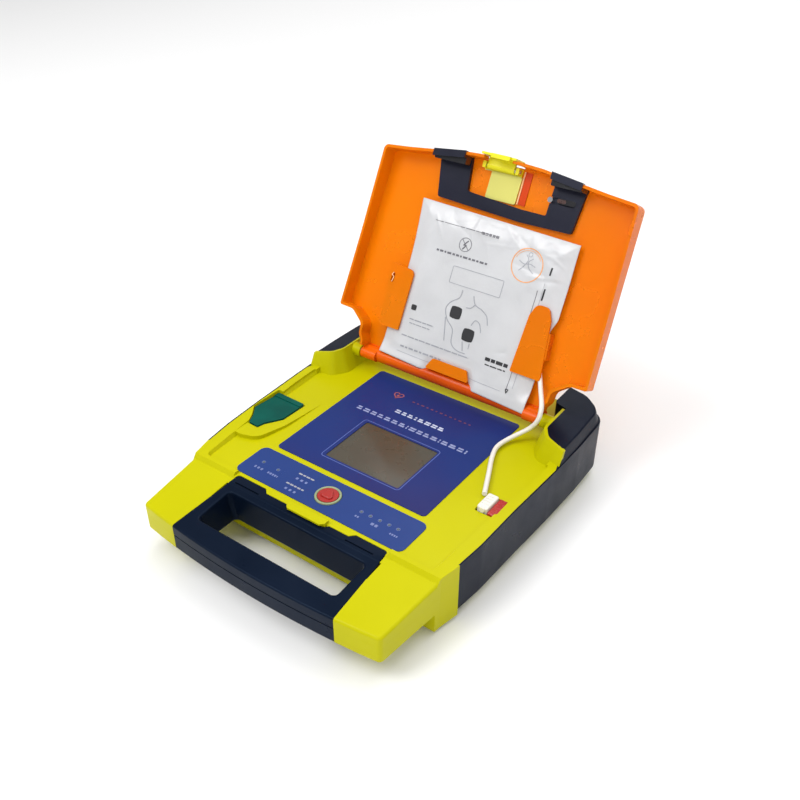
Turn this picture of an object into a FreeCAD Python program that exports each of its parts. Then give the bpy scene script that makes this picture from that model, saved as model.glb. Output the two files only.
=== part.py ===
import FreeCAD
import Part
import math
import os

V = FreeCAD.Vector

# Automated external defibrillator, shown with its lid standing open.
# Millimetres. X to the right, Y to the back, Z up, feet on Z = 0.
# The shapes are drawn with Y = 0 at the front corners of the carry handle and
# the lid closed; placing() at the end moves everything into the row's frame.

# ---- driving dimensions -------------------------------------------------
ORIGIN_Y = 174.0            # Y of the row origin, middle of the depth
HALF_WIDTH = 132.2          # widest point of the bumpers
BASE_Z = 3.0                # underside of the tub
SHOULDER_Z = 20.7           # underside of the handle and the shoulders
SPLIT_Z = 35.0              # parting plane of the two case halves
DECK_Z = 51.0               # flat deck
RIM_FRONT_Z = 53.4          # rim height at the front of the deck
RIM_REAR_Z = 56.0           # rim height from the data port back
TOWER_Z = 73.4              # inner top edge of the two hinge towers
TOWER_FALL = 0.245          # slope of the tower tops, down towards the sides
REAR_Y = 312.0              # back wall
BUMPER_Y = 84.0             # front end of the side bumpers
BUMPER_LOW_Z = 8.5          # lower edge of the bumpers
BUMPER_T = 5.0              # bumper wall
WALL = 2.6                  # moulded wall
NOTCH_X = 78.6              # half width of the handle
SLOPE = 0.0848              # rise of handle and shoulders towards the deck
HANDLE_Z = 44.7             # handle top at its front edge
SLOT_X = 68.5               # half width of the grip slot, top
SLOT_X_LOW = 63.0           # half width of the grip slot, bottom
SLOT_Y0, SLOT_Y1 = 15.8, 50.6
HINGE_Y, HINGE_Z = 256.4, 66.7
HINGE_R = 5.4               # knuckles at the ends of the lid rail
RAIL_Y, RAIL_Z, RAIL_R = 255.0, 69.9, 6.5   # rounded rail along the rear of the lid
PIN_R = 2.5
PIN_GAP = 0.06
LID_OPEN = 117.0            # degrees from closed to the stop
LID_TOP_Z = 73.6
LID_T = 2.6
LID_FLOOR_Z = LID_TOP_Z - LID_T
PANEL = (-74.7, 113.3, 74.7, 258.3)
STRIP = (-82.8, 71.3, 82.8, 107.8)
LCD = (-35.5, 127.5, 39.5, 185.5)
BUTTON = (0.6, 89.2)
BUTTON_R = 8.4
BUTTON_TRAVEL = 1.6
LEAD_D = 4.0

NODES = {}
LID_NODES = []


def add(name, shape, lid=False):
    shape = shape.removeSplitter() if shape.ShapeType != "Compound" else shape
    NODES[name] = shape
    if lid:
        LID_NODES.append(name)


# ---- helpers --------------------------------------------------------------
def box(x0, y0, z0, x1, y1, z1):
    return Part.makeBox(x1 - x0, y1 - y0, z1 - z0, V(x0, y0, z0))


def cyl(x, y, z, r, h, d=(0, 0, 1)):
    return Part.makeCylinder(r, h, V(x, y, z), V(*d))


def rwire(pts, z=0.0):
    """Closed wire through (x, y) or (x, y, radius) corners."""
    n = len(pts)
    starts, ends, mids = [], [], []
    for i in range(n):
        p = V(pts[i][0], pts[i][1], 0)
        r = pts[i][2] if len(pts[i]) > 2 else 0.0
        a = V(pts[i - 1][0], pts[i - 1][1], 0) - p
        b = V(pts[(i + 1) % n][0], pts[(i + 1) % n][1], 0) - p
        la, lb = a.Length, b.Length
        a.normalize()
        b.normalize()
        ang = math.acos(max(-1.0, min(1.0, a.dot(b))))
        if r <= 0 or abs(ang - math.pi) < 1e-3:
            starts.append(p)
            ends.append(p)
            mids.append(None)
            continue
        t = r / math.tan(ang / 2)
        t = min(t, 0.49 * la, 0.49 * lb)
        r = t * math.tan(ang / 2)
        bis = a + b
        bis.normalize()
        c = p + bis * (r / math.sin(ang / 2))
        starts.append(p + a * t)
        ends.append(p + b * t)
        mids.append(c - bis * r)
    edges = []
    lift = V(0, 0, z)
    for i in range(n):
        if mids[i] is not None:
            edges.append(Part.Arc(starts[i] + lift, mids[i] + lift, ends[i] + lift).toShape())
        s, e = ends[i] + lift, starts[(i + 1) % n] + lift
        if (e - s).Length > 1e-6:
            edges.append(Part.LineSegment(s, e).toShape())
    return Part.Wire(edges)


def prism(pts, z0, z1):
    return Part.Face(rwire(pts, z0)).extrude(V(0, 0, z1 - z0))


def loft(lower, z0, upper, z1):
    return Part.makeLoft([rwire(lower, z0), rwire(upper, z1)], True, True)


def rect(x0, y0, x1, y1, r=0.0):
    return [(x0, y0, r), (x1, y0, r), (x1, y1, r), (x0, y1, r)]


def mirror_pts(right):
    """Right-hand points front to back, mirrored into a closed outline."""
    left = [(-p[0],) + tuple(p[1:]) for p in reversed(right)]
    return right + left


def mirrored(shape):
    return shape.mirror(V(0, 0, 0), V(1, 0, 0))


def yz_slab(pts, x0=-200.0, x1=200.0):
    """Extrude a (y, z) outline along X."""
    w = Part.makePolygon([V(x0, p[0], p[1]) for p in pts + [pts[0]]])
    return Part.Face(w).extrude(V(x1 - x0, 0, 0))


def fillet(shape, r, pick, label=""):
    edges = [e for e in shape.Edges if pick(e)]
    if not edges:
        print("no edges for", label)
        return shape
    for k in (1.0, 0.6, 0.35):
        try:
            out = shape.makeFillet(r * k, edges)
            if out.isValid() and out.Volume > 0 and len(out.Solids) == len(shape.Solids):
                return out
        except Exception:
            pass
    good = shape
    done = 0
    for e in edges:
        try:
            match = [g for g in good.Edges if g.CenterOfMass.distanceToPoint(e.CenterOfMass) < 0.05 and abs(g.Length - e.Length) < 0.1]
            out = good.makeFillet(r * 0.6, match)
            if match and out.isValid() and len(out.Solids) == len(shape.Solids):
                good = out
                done += 1
        except Exception:
            pass
    print("fillet", label, done, "of", len(edges), "edges")
    return good


def flat_at(e, z, tol=0.02):
    b = e.BoundBox
    return abs(b.ZMin - z) < tol and abs(b.ZMax - z) < tol


def upright(e):
    b = e.BoundBox
    return b.ZMax - b.ZMin > 1.0 and b.XMax - b.XMin < 0.05 and b.YMax - b.YMin < 0.05


# ---- outlines -------------------------------------------------------------
def bow(x):
    """Front face of handle and shoulders."""
    return (x * x - 78.7 ** 2) / 1758.0


SIDE_R = [(125.0, BUMPER_Y, 12.0), (127.6, 110.0, 60.0), (129.2, 160.0, 60.0), (131.2, 205.0, 60.0), (HALF_WIDTH, 255.0, 60.0), (131.0, 300.0, 18.0), (115.0, REAR_Y, 14.0)]
FRONT_R = [(NOTCH_X, 0.0), (97.0, bow(97.0)), (115.2, 4.2, 4.0), (121.2, 66.0, 10.0)]


def side(d, step=True):
    """Side and rear outline, set in by d behind the front end of the bumper."""
    if d == 0:
        return list(SIDE_R)
    pts = [(SIDE_R[0][0], BUMPER_Y, 0)] if step else []
    pts += [(SIDE_R[0][0] - d, BUMPER_Y + 0.01, 0)]
    pts += [(p[0] - d, p[1], 60.0) for p in SIDE_R[1:5]]
    pts += [(131.0 - d, 300.0 - 0.3 * d, 16.0), (115.0 - 0.5 * d, REAR_Y - d, 12.0)]
    return pts


def case_outline(d, notch_y):
    right = FRONT_R + side(d)
    left = [(-p[0],) + tuple(p[1:]) for p in reversed(right)]
    return right + left + [(-75.2, notch_y), (75.2, notch_y)]


def rim_outline():
    """The rim keeps a thin lip of bumper beside it, and a thick one by the towers."""
    sd = [(SIDE_R[0][0], BUMPER_Y, 0)] + rim_side(0.0)
    right = FRONT_R + sd
    left = [(-p[0],) + tuple(p[1:]) for p in reversed(right)]
    return right + left + [(-75.2, 57.0), (75.2, 57.0)]


def rim_side(c):
    return [(123.8 + c, BUMPER_Y + 0.01, 0), (126.4 + c, 110.0, 60.0), (128.0 + c, 160.0, 60.0), (129.9 + c, 205.0, 60.0), (130.3 + c, 216.0), (127.4 + c, 226.0),
            (127.4 + c, 255.0, 60.0), (126.0 + c, 298.5, 16.0), (112.5 + c, REAR_Y - 5.0 + c, 12.0)]


# drafted front and inner walls of the towers, at deck level and at Z = 76
WALL_LOW = [(98.2, 273.0), (98.2, 238.0, 10.0), (107.5, 223.5, 12.0), (121.0, 221.5, 8.0), (132.5, 217.5), (132.5, 273.0)]
WALL_TOP = [(105.6, 273.0), (105.6, 240.0, 8.0), (112.0, 232.0, 8.0), (124.0, 231.0, 8.0), (129.5, 231.8), (127.1, 273.0)]
CORE_LOW = [(100.5, 240.4, 8.0), (109.4, 226.2, 10.0), (122.0, 224.2, 6.0), (132.15, 219.6), (HALF_WIDTH, 255.0, 60.0), (131.0, 300.0, 18.0), (115.0, REAR_Y, 14.0), (96.4, REAR_Y), (96.4, 275.0, 3.0), (100.5, 275.0)]
CORE_TOP = [(107.9, 242.2, 6.0), (113.9, 234.6, 6.0), (125.2, 233.4, 6.0), (127.0, 234.4), (127.1, 255.0, 60.0), (125.6, 294.0, 18.0), (111.0, 303.5, 14.0), (96.4, 303.5), (96.4, 275.0, 3.0), (107.9, 275.0)]


def tower_roof(s):
    """Solid under the sloping tower top."""
    pts = [(80.0, 0.0), (80.0, TOWER_Z + 0.245 * 24.8), (140.0, TOWER_Z - TOWER_FALL * 35.2), (140.0, 0.0)]
    w = Part.makePolygon([V(s * p[0], 180.0, p[1]) for p in pts + [pts[0]]])
    return Part.Face(w).extrude(V(0, 160.0, 0))


TOP_PROFILE = [(-20, 30), (-20, HANDLE_Z - 20 * SLOPE), (63.2, HANDLE_Z + 63.2 * SLOPE), (66.0, RIM_FRONT_Z),
               (150.0, RIM_REAR_Z), (340, RIM_REAR_Z), (340, 30)]

# ---- handle ---------------------------------------------------------------
front_pts = [(-NOTCH_X + 0.25, bow(-78.3))] + [(x, bow(x)) for x in (-52.0, -26.0, 0.0, 26.0, 52.0)] + [(NOTCH_X - 0.25, bow(78.3))]


def handle_front_edge(z):
    pts = [V(p[0], p[1], z) for p in front_pts]
    s = Part.BSplineCurve()
    s.interpolate(pts)
    return s.toShape(), pts


def handle_plan(z0, z1, y_back):
    e, pts = handle_front_edge(z0)
    a, b = pts[-1], pts[0]
    xb = NOTCH_X - 0.25 - (NOTCH_X - 75.2) * (y_back / 57.0)
    c, d = V(xb, y_back, z0), V(-xb, y_back, z0)
    w = Part.Wire([e, Part.LineSegment(a, c).toShape(), Part.LineSegment(c, d).toShape(), Part.LineSegment(d, b).toShape()])
    return Part.Face(w).extrude(V(0, 0, z1 - z0))


REAR_PLATE = [(-74.6, 54.0), (74.6, 54.0), (74.2, 67.8, 3.0), (45.0, 67.8, 1.0), (41.0, 63.8, 1.0), (22.5, 63.8, 0.8), (19.0, 60.2, 0.8),
              (-16.0, 60.2, 0.8), (-19.5, 63.8, 0.8), (-41.0, 63.8, 1.0), (-45.0, 67.8, 1.0), (-74.2, 67.8, 3.0)]
REAR_PLATE_CLEAR = [(-75.2, 50.0), (75.2, 50.0), (74.5, 68.1, 3.2), (44.8, 68.1, 1.0), (40.8, 64.1, 1.0), (22.6, 64.1, 0.8), (19.1, 60.5, 0.8),
                    (-16.1, 60.5, 0.8), (-19.6, 64.1, 0.8), (-40.8, 64.1, 1.0), (-44.8, 68.1, 1.0), (-74.5, 68.1, 3.2)]
handle_keep = yz_slab([(-20, 10), (-20, HANDLE_Z - 20 * SLOPE), (15.0, HANDLE_Z + 15 * SLOPE), (50.6, HANDLE_Z + 50.6 * SLOPE),
                       (56.0, 49.9), (57.6, 50.7), (80, 50.7), (80, 10)])
h = handle_plan(SHOULDER_Z, 54.0, 56.4)
h = h.fuse(prism(REAR_PLATE, 46.4, 54.0))
h = h.common(handle_keep)
slot = loft(rect(-SLOT_X_LOW, SLOT_Y0 + 1.2, SLOT_X_LOW, SLOT_Y1, 4.0), 15.0, rect(-SLOT_X, SLOT_Y0, SLOT_X, SLOT_Y1, 4.0), 52.0)
h = h.cut(slot)
# parting groove along the front, and the two short grooves behind the slot
h = h.cut(handle_plan(SPLIT_Z - 0.5, SPLIT_Z + 0.5, 60.0).cut(handle_plan(SPLIT_Z - 1, SPLIT_Z + 1, 60.0).translate(V(0, 0.7, 0)).common(box(-200, -20, 0, 200, 40, 80))).common(box(-200, -20, 0, 200, 5, 80)))
for x0, x1 in ((-70.0, -45.0), (41.0, 67.0)):
    h = h.cut(prism(rect(x0, 58.9, x1, 60.3, 0.6), 49.5, 54.0))
h = h.removeSplitter()


def handle_top_edges(e):
    b = e.BoundBox
    if b.YMax < 4.5 and b.ZMin > 43.0 and b.XMax - b.XMin > 100:
        return True
    if b.ZMin > 45.0 and b.YMin > 15.0 and b.YMax < 51.5 and abs(b.XMax) < 69 and abs(b.XMin) < 69:
        return True
    return False


for x in (-60.0, 60.0):
    h = h.cut(cyl(x, 64.0, 45.0, 1.35, 4.9))
h = fillet(h, 1.8, handle_top_edges, "handle top")
h = fillet(h, 2.2, lambda e: flat_at(e, SHOULDER_Z) and e.BoundBox.YMax < 4.0 and e.BoundBox.XMax - e.BoundBox.XMin > 100, "handle low front")
h = fillet(h, 3.0, lambda e: flat_at(e, SHOULDER_Z) and e.BoundBox.YMin > 14 and e.BoundBox.YMax < 18.5 and e.BoundBox.XMax - e.BoundBox.XMin > 100, "handle grip")
add("carry_handle", h)

# ---- upper case --------------------------------------------------------------
up = prism(case_outline(BUMPER_T, 57.0), SPLIT_Z, 50.0).fuse(prism(rim_outline(), 50.0, 62.0))
up = up.common(yz_slab(TOP_PROFILE)).removeSplitter()
# outer top edges of shoulders and rim
up = fillet(up, 2.6, lambda e: (e.BoundBox.ZMin > 43.5 and e.BoundBox.YMax < 67.0 and e.BoundBox.XMax > 96 and e.BoundBox.YMin < 30 and e.BoundBox.ZMax - e.BoundBox.ZMin < 8)
            or (e.BoundBox.ZMin > 43.5 and e.BoundBox.YMax < 67.0 and e.BoundBox.XMin < -96 and e.BoundBox.YMin < 30 and e.BoundBox.ZMax - e.BoundBox.ZMin < 8), "shoulder")

DECK_R = [(76.4, 40.0), (76.4, 71.0), (111.0, 71.0, 3.0), (114.2, 129.0), (119.4, 185.0), (121.0, 228.0), (104.0, 240.0), (104.0, 273.0), (95.0, 274.5)]
up = up.cut(prism(mirror_pts(DECK_R), DECK_Z, 70.0))
# sloping inner face of the rim
RIM_TOP_R = [(76.4, 40.0), (76.4, 69.4), (112.6, 69.4, 4.0), (116.4, 129.0), (121.8, 185.0), (122.8, 218.0, 1.0), (100.0, 219.0)]
RIM_FOOT_R = [(76.4, 40.0), (76.4, 71.0), (110.9, 71.0, 3.0), (114.1, 129.0), (119.3, 185.0), (120.4, 218.0, 1.0), (100.0, 219.0)]
up = up.cut(loft(mirror_pts(RIM_FOOT_R), DECK_Z, mirror_pts(RIM_TOP_R), DECK_Z + 3.0))
up = up.cut(prism(mirror_pts(RIM_TOP_R), DECK_Z + 3.0, 70.0))

# raised mound that carries the data port, on the left
MOUND = [(-129.0, 105.5, 3.0), (-108.0, 105.2, 10.0), (-93.6, 110.0, 12.0), (-87.0, 138.0, 40.0), (-84.6, 186.0), (-131.0, 186.0)]
mound = prism(MOUND, DECK_Z - 1.0, 58.0).common(yz_slab([(90, 45), (90, 54.5), (112, 54.5), (184, DECK_Z + 0.02), (190, DECK_Z + 0.02), (190, 45)]))
up = up.fuse(mound.common(prism(rim_outline(), 40.0, 70.0)))

# towers: yellow inner and front wall
for s in (1, -1):
    body = loft([(s * p[0],) + tuple(p[1:]) for p in WALL_LOW], DECK_Z - 1.0, [(s * p[0],) + tuple(p[1:]) for p in WALL_TOP], 76.0)
    body = body.common(tower_roof(s)).common(prism([(s * 90, 190), (s * 130.25, 190), (s * 130.25, 280), (s * 90, 280)], 40, 90))
    up = up.fuse(body)
    up = up.fuse(cyl(s * 95.2, HINGE_Y, HINGE_Z, 6.2, 9.4, (s, 0, 0)))
up = up.removeSplitter()
for s in (1, -1):
    core = loft([(s * (p[0] - 0.05 if p[0] < 120 else p[0] + 8),) + (p[1] - (0.05 if p[1] < 250 else -8),) + tuple(p[2:]) for p in CORE_LOW], DECK_Z,
                [(s * (p[0] - 0.05 if p[0] < 120 else p[0] + 8),) + (p[1] - (0.05 if p[1] < 250 else -8),) + tuple(p[2:]) for p in CORE_TOP], 76.0)
    up = up.cut(core.common(box(-200, 200, RIM_REAR_Z, 200, 340, 90)))
    up = up.cut(box(min(s * 95, s * 140), 274.5, RIM_REAR_Z, max(s * 95, s * 140), 330, 90))
# rear ledge behind the hinge line is lower than the rim
up = up.cut(box(-95.0, 273.0, 55.0, 95.0, 330, 90))
up = up.cut(box(-94.9, 252.0, DECK_Z, 94.9, 276.0, 90))
# handle seat
up = up.cut(prism(REAR_PLATE_CLEAR, 46.2, 90.0))
up = up.cut(box(-76.5, 40.0, 46.2, 76.5, 57.0, 90))
up = up.removeSplitter()
# hollow
IN = [(82.0, 3.6 + 0.4), (112.0, 7.2, 3.0), (118.4, 66.0), (117.2, 84.0), (117.6, 90.0), (121.4, 145.0), (123.8, 205.0), (124.4, 255.0), (123.4, 294.0, 14.0), (108.0, 304.0, 10.0)]
left_in = [(-p[0],) + tuple(p[1:]) for p in reversed(IN)]
inner_low = IN + left_in + [(-82.0, 60.0), (82.0, 60.0)]
up = up.cut(prism(inner_low, SPLIT_Z - 1, 42.0))
IN2 = [(82.0, 60.0), (82.0, 71.0), (114.0, 71.0), (117.6, 90.0), (121.4, 145.0), (123.8, 205.0), (124.2, 255.0), (122.0, 292.0, 14.0), (107.0, 303.0, 10.0)]
left_in2 = [(-p[0],) + tuple(p[1:]) for p in reversed(IN2)]
up = up.cut(prism(IN2 + left_in2, 41.9, DECK_Z - WALL))
up = up.cut(prism([(-82, 60), (82, 60), (82, 72), (-82, 72)], 41.9, 43.6))
# shelf under the handle's rear plate, with the two holes of its screws
shelf = box(-76.5, 57.0, 43.6, 76.5, 71.5, 48.6).cut(prism(REAR_PLATE_CLEAR, 46.2, 90.0)).cut(box(-76.6, 40.0, 46.2, 76.6, 57.0, 90.0))
up = up.fuse(shelf)
for x in (-60.0, 60.0):
    up = up.cut(cyl(x, 64.0, 42.0, 1.7, 6.0))
# openings in the deck: display, button, sockets
up = up.cut(prism(rect(LCD[0] - 1.0, LCD[1] - 1.0, LCD[2] + 1.0, LCD[3] + 1.0, 3.0), 40, 60))
up = up.cut(cyl(BUTTON[0], BUTTON[1], 40, 10.9, 20))
RECESS = (99.9, 143.0, 119.4, 164.6)
recess = prism(rect(*RECESS, 1.5), 42.6, 60)
up = up.cut(recess)
PORT = [(-125.3, 171.6, 1.0), (-95.4, 171.0, 1.0), (-94.8, 143.2, 3.0), (-103.0, 128.2, 3.0), (-104.2, 121.2, 1.0), (-114.0, 121.8, 1.0), (-119.2, 132.0, 3.0), (-126.2, 141.6, 3.0)]
PORT_CUT = [(-126.0, 172.4, 1.0), (-94.6, 171.8, 1.0), (-94.0, 142.8, 3.0), (-102.3, 127.8, 3.0), (-103.5, 120.4, 1.0), (-114.8, 121.0, 1.0), (-120.0, 131.6, 3.0), (-127.0, 141.2, 3.0)]
port_slope = (54.5 - DECK_Z) / 72.0


def mound_z(y):
    return 54.5 - (y - 112.0) * port_slope if y > 112.0 else 54.5


def sloped(pts, lift0, lift1):
    """Prism whose top and bottom follow the mound's slope."""
    p = prism(pts, 40, 70)
    return p.common(yz_slab([(90, mound_z(90) + lift0), (112, 54.5 + lift0), (184, DECK_Z + lift0), (184, DECK_Z + lift1), (112, 54.5 + lift1), (90, mound_z(90) + lift1)]))


up = up.cut(sloped(PORT_CUT, -1.4, 12.0))
up = up.cut(prism(rect(-119.0, 142.0, -99.5, 163.0, 1.5), 40.0, 60))
# catch tongue in front of the deck stands down over the handle's rear plate
tongue = prism([(-14.5, 58.6, 1.0), (17.5, 58.6, 1.0), (20.4, 61.6, 0.8), (20.4, 66.0), (-17.4, 66.0), (-17.4, 61.6, 0.8)], DECK_Z + 1.3, DECK_Z + 2.8)
tongue = tongue.fuse(box(-17.4, 61.2, DECK_Z - 0.2, 20.4, 66.0, DECK_Z + 1.5))
up = up.fuse(tongue)
# screw bosses inside, open to the bottom
SCREWS = [(-106.0, 84.0), (106.0, 84.0), (-112.0, 196.0), (112.0, 196.0), (-104.0, 284.0), (104.0, 284.0), (-40.0, 296.0), (40.0, 296.0)]
for x, y in SCREWS:
    up = up.fuse(cyl(x, y, SPLIT_Z, 4.0, 14.4))
    up = up.cut(cyl(x, y, SPLIT_Z - 1, 1.35, 12.0))
for s in (1, -1):
    up = up.cut(cyl(s * 94.0, HINGE_Y, HINGE_Z, PIN_R + PIN_GAP, 16.0, (s, 0, 0)))
up = up.removeSplitter()
add("upper_case", up)

# ---- bumpers -------------------------------------------------------------------
RIM_LINE = yz_slab([(0, 0), (0, RIM_FRONT_Z - 66.0 * (RIM_REAR_Z - RIM_FRONT_Z) / 84.0), (150.0, RIM_REAR_Z), (340, RIM_REAR_Z), (340, 0)])
skin = prism([(125.0, BUMPER_Y + 0.1)] + SIDE_R[1:] + [(86.0, REAR_Y), (86.0, BUMPER_Y + 0.1)], BUMPER_LOW_Z, RIM_REAR_Z).common(RIM_LINE)
skin = skin.cut(prism([(60.0, 50.0), (120.05, 50.0), (120.05, BUMPER_Y)] + [(p[0] + 0.05, p[1] + (0.05 if p[1] > 290 else 0)) + tuple(p[2:]) for p in side(BUMPER_T, False)[1:]] + [(60.0, REAR_Y - BUMPER_T + 0.05)], 0.0, 50.0))
skin = skin.cut(prism([(60.0, 50.0), (123.85, 50.0)] + rim_side(0.05) + [(60.0, REAR_Y - 4.95)], 49.9, 80.0))
core = loft(CORE_LOW, DECK_Z, CORE_TOP, 76.0).common(tower_roof(1)).common(box(0, 200, RIM_REAR_Z, 200, 340, 90))
b = skin.fuse(core).removeSplitter()
if len(b.Solids) > 1:
    sol = sorted(b.Solids, key=lambda q: q.Volume)
    print("bumper solids", [round(q.Volume, 1) for q in sol])
    b = sol[-1]
b = b.cut(cyl(90.0, HINGE_Y, HINGE_Z, PIN_R + PIN_GAP, 22.0, (1, 0, 0)))
b = fillet(b, 2.0, lambda e: e.BoundBox.ZMin > 62.0 and e.BoundBox.YMin > 228 and e.BoundBox.XMin > 122.0 and e.BoundBox.YMax - e.BoundBox.YMin > 10, "tower crease")
b = fillet(b, 1.6, lambda e: e.BoundBox.ZMin > 62.0 and e.BoundBox.YMin > 290 and e.BoundBox.ZMax - e.BoundBox.ZMin < 8, "tower rear")
b = fillet(b, 2.0, lambda e: flat_at(e, BUMPER_LOW_Z) and (e.BoundBox.XMin > 124.0 or e.BoundBox.YMin > 308), "bumper low")
add("bumper_right", b)
add("bumper_left", mirrored(b))
NODES["upper_case"] = NODES["upper_case"].cut(NODES["bumper_right"]).cut(NODES["bumper_left"]).removeSplitter()
keepers = sorted(NODES["upper_case"].Solids, key=lambda q: q.Volume)
if len(keepers) > 1:
    print("upper solids", [round(q.Volume, 2) for q in keepers])
    NODES["upper_case"] = keepers[-1]

# ---- lower case -----------------------------------------------------------------
lo = prism(case_outline(BUMPER_T, 57.0), BASE_Z, SPLIT_Z - 0.05)
lo = lo.cut(box(-200, -20, -5, 200, 60.5, SHOULDER_Z))
lo = fillet(lo, 1.6, lambda e: flat_at(e, BASE_Z) or (flat_at(e, SHOULDER_Z) and e.BoundBox.YMax < 60), "tub low")
lo = lo.cut(prism([(-114.0, 63.2), (114.0, 63.2), (117.2, 80.0), (117.6, 90.0), (121.4, 145.0), (123.8, 205.0), (124.4, 255.0), (123.4, 294.0, 14.0), (108.0, 304.0, 10.0), (-108.0, 304.0, 10.0), (-123.4, 294.0, 14.0), (-124.4, 255.0), (-123.8, 205.0), (-121.4, 145.0), (-117.6, 90.0), (-117.2, 80.0)], BASE_Z + WALL, SPLIT_Z + 5))
for s in (1, -1):
    pts = [(82.0, 4.0), (112.0, 7.2, 3.0), (118.0, 62.0), (118.0, 64.0), (82.0, 64.0)]
    lo = lo.cut(prism([(s * p[0],) + tuple(p[1:]) for p in pts], SHOULDER_Z + WALL, SPLIT_Z + 5))
for x, y in SCREWS:
    lo = lo.fuse(cyl(x, y, BASE_Z + 0.5, 4.4, SPLIT_Z - 0.05 - BASE_Z - 0.5))
    lo = lo.cut(cyl(x, y, BASE_Z - 1, 1.7, 40))
    lo = lo.cut(cyl(x, y, BASE_Z - 1, 3.3, 13.0))
BATT = (-52.0, 176.0, 52.0, 262.0)
lo = lo.cut(prism(rect(BATT[0] - 1, BATT[1] - 1, BATT[2] + 1, BATT[3] + 1, 3.0), BASE_Z - 1, BASE_Z + 4))
lo = lo.fuse(prism(rect(BATT[0] - 4.2, BATT[1] - 4.2, BATT[2] + 4.2, BATT[3] + 4.2, 4.0), BASE_Z + 1.6, 27.0).cut(prism(rect(BATT[0] - 1.8, BATT[1] - 1.8, BATT[2] + 1.8, BATT[3] + 1.8, 3.0), BASE_Z - 1, 30.0)))
ledge = prism(rect(BATT[0] - 2.5, BATT[1] - 2.5, BATT[2] + 2.5, BATT[3] + 2.5, 3.0), BASE_Z + 1.8, BASE_Z + 3.4).cut(prism(rect(BATT[0] + 1.0, BATT[1] + 1.0, BATT[2] - 1.0, BATT[3] - 1.0, 3.0), BASE_Z - 1, 30.0))
lo = lo.fuse(ledge)
SPK = (84.0, 220.0)
for i in range(-3, 4):
    hl = math.sqrt(20.0 ** 2 - (i * 5.5) ** 2)
    lo = lo.cut(prism(rect(SPK[0] - hl, SPK[1] + i * 5.5 - 1.0, SPK[0] + hl, SPK[1] + i * 5.5 + 1.0, 0.99), BASE_Z - 1, BASE_Z + 5))
FEET = [(-104.0, 72.5), (104.0, 72.5), (-108.0, 292.0), (108.0, 292.0)]
for x, y in FEET:
    lo = lo.cut(cyl(x, y, BASE_Z - 1, 6.1, 2.0))
lo = lo.removeSplitter()
if len(lo.Solids) > 1:
    print("lower solids", [round(q.Volume, 1) for q in lo.Solids])
add("lower_case", lo)

seal_out = [(-116.4, 64.6), (116.4, 64.6), (118.4, 86.0), (118.8, 92.0), (122.6, 145.0), (125.0, 205.0), (125.6, 255.0), (124.6, 295.0, 14.0), (109.0, 305.2, 10.0)]
seal_in = [(-115.0, 66.0), (115.0, 66.0), (117.1, 86.0), (117.5, 92.0), (121.3, 145.0), (123.7, 205.0), (124.3, 255.0), (123.3, 294.4, 13.0), (108.4, 303.9, 9.0)]
seal_out += [(-p[0],) + tuple(p[1:]) for p in reversed(seal_out[2:])]
seal_in += [(-p[0],) + tuple(p[1:]) for p in reversed(seal_in[2:])]
add("case_seal", prism(seal_out, SPLIT_Z - 1.0, SPLIT_Z + 1.0).cut(prism(seal_in, SPLIT_Z - 2, SPLIT_Z + 2)))
groove = NODES["case_seal"]
NODES["upper_case"] = NODES["upper_case"].cut(groove).removeSplitter()
NODES["lower_case"] = NODES["lower_case"].cut(groove).removeSplitter()

# ---- feet and screws ---------------------------------------------------------
feet = []
for x, y in FEET:
    f = cyl(x, y, 0.0, 6.0, BASE_Z + 0.95)
    f = f.makeFillet(0.8, [e for e in f.Edges if flat_at(e, 0.0)])
    feet.append(f)
add("rubber_feet", Part.makeCompound(feet))


def screw(x, y, z_head, length, r=1.3, head_r=2.8, head_h=2.0, d=(0, 0, 1)):
    dv = V(*d)
    base = V(x, y, z_head)
    hd = Part.makeCylinder(head_r, head_h, base, dv)
    sh = Part.makeCylinder(r, length, base + dv * (head_h - 0.01), dv)
    rc = Part.makeCylinder(1.1, 1.2, base - dv * 0.01, dv)
    return hd.fuse(sh).cut(rc).removeSplitter()


add("case_screws", Part.makeCompound([screw(x, y, BASE_Z + 10.0, SPLIT_Z + 8 - BASE_Z - 12) for x, y in SCREWS]))

# ---- deck panels -----------------------------------------------------------------
panel = prism(rect(*PANEL, 3.5), DECK_Z, DECK_Z + 0.6)
panel = panel.cut(prism(rect(LCD[0] + 0.6, LCD[1] + 0.6, LCD[2] - 0.6, LCD[3] - 0.6, 2.0), DECK_Z - 1, DECK_Z + 2))
add("label_panel", panel)
strip = prism(rect(*STRIP, 6.0), DECK_Z, DECK_Z + 0.6)
strip = strip.cut(cyl(BUTTON[0], BUTTON[1], 40, 10.9, 20))
LEDS_L = [(-68.8, 91.2), (-52.5, 90.4)]
LEDS_R = [(32.8, 90.0), (41.3, 90.1), (50.0, 90.3), (58.5, 90.5), (66.7, 90.6)]
add("control_strip", strip)
lens = prism(rect(LCD[0] + 0.2 - 1.0, LCD[1] + 0.2 - 1.0, LCD[2] - 0.2 + 1.0, LCD[3] - 0.2 + 1.0, 3.0), DECK_Z - 1.6, DECK_Z - 0.02)
add("display_window", lens)
mod = prism(rect(LCD[0] - 5.0, LCD[1] - 4.0, LCD[2] + 5.0, LCD[3] + 4.0, 1.5), 41.5, DECK_Z - WALL - 0.1)
mod = mod.fuse(prism(rect(LCD[0] + 1.0, LCD[1] + 1.0, LCD[2] - 1.0, LCD[3] - 1.0, 1.0), 45.0, DECK_Z - 1.62))
add("display_module", mod)

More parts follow.
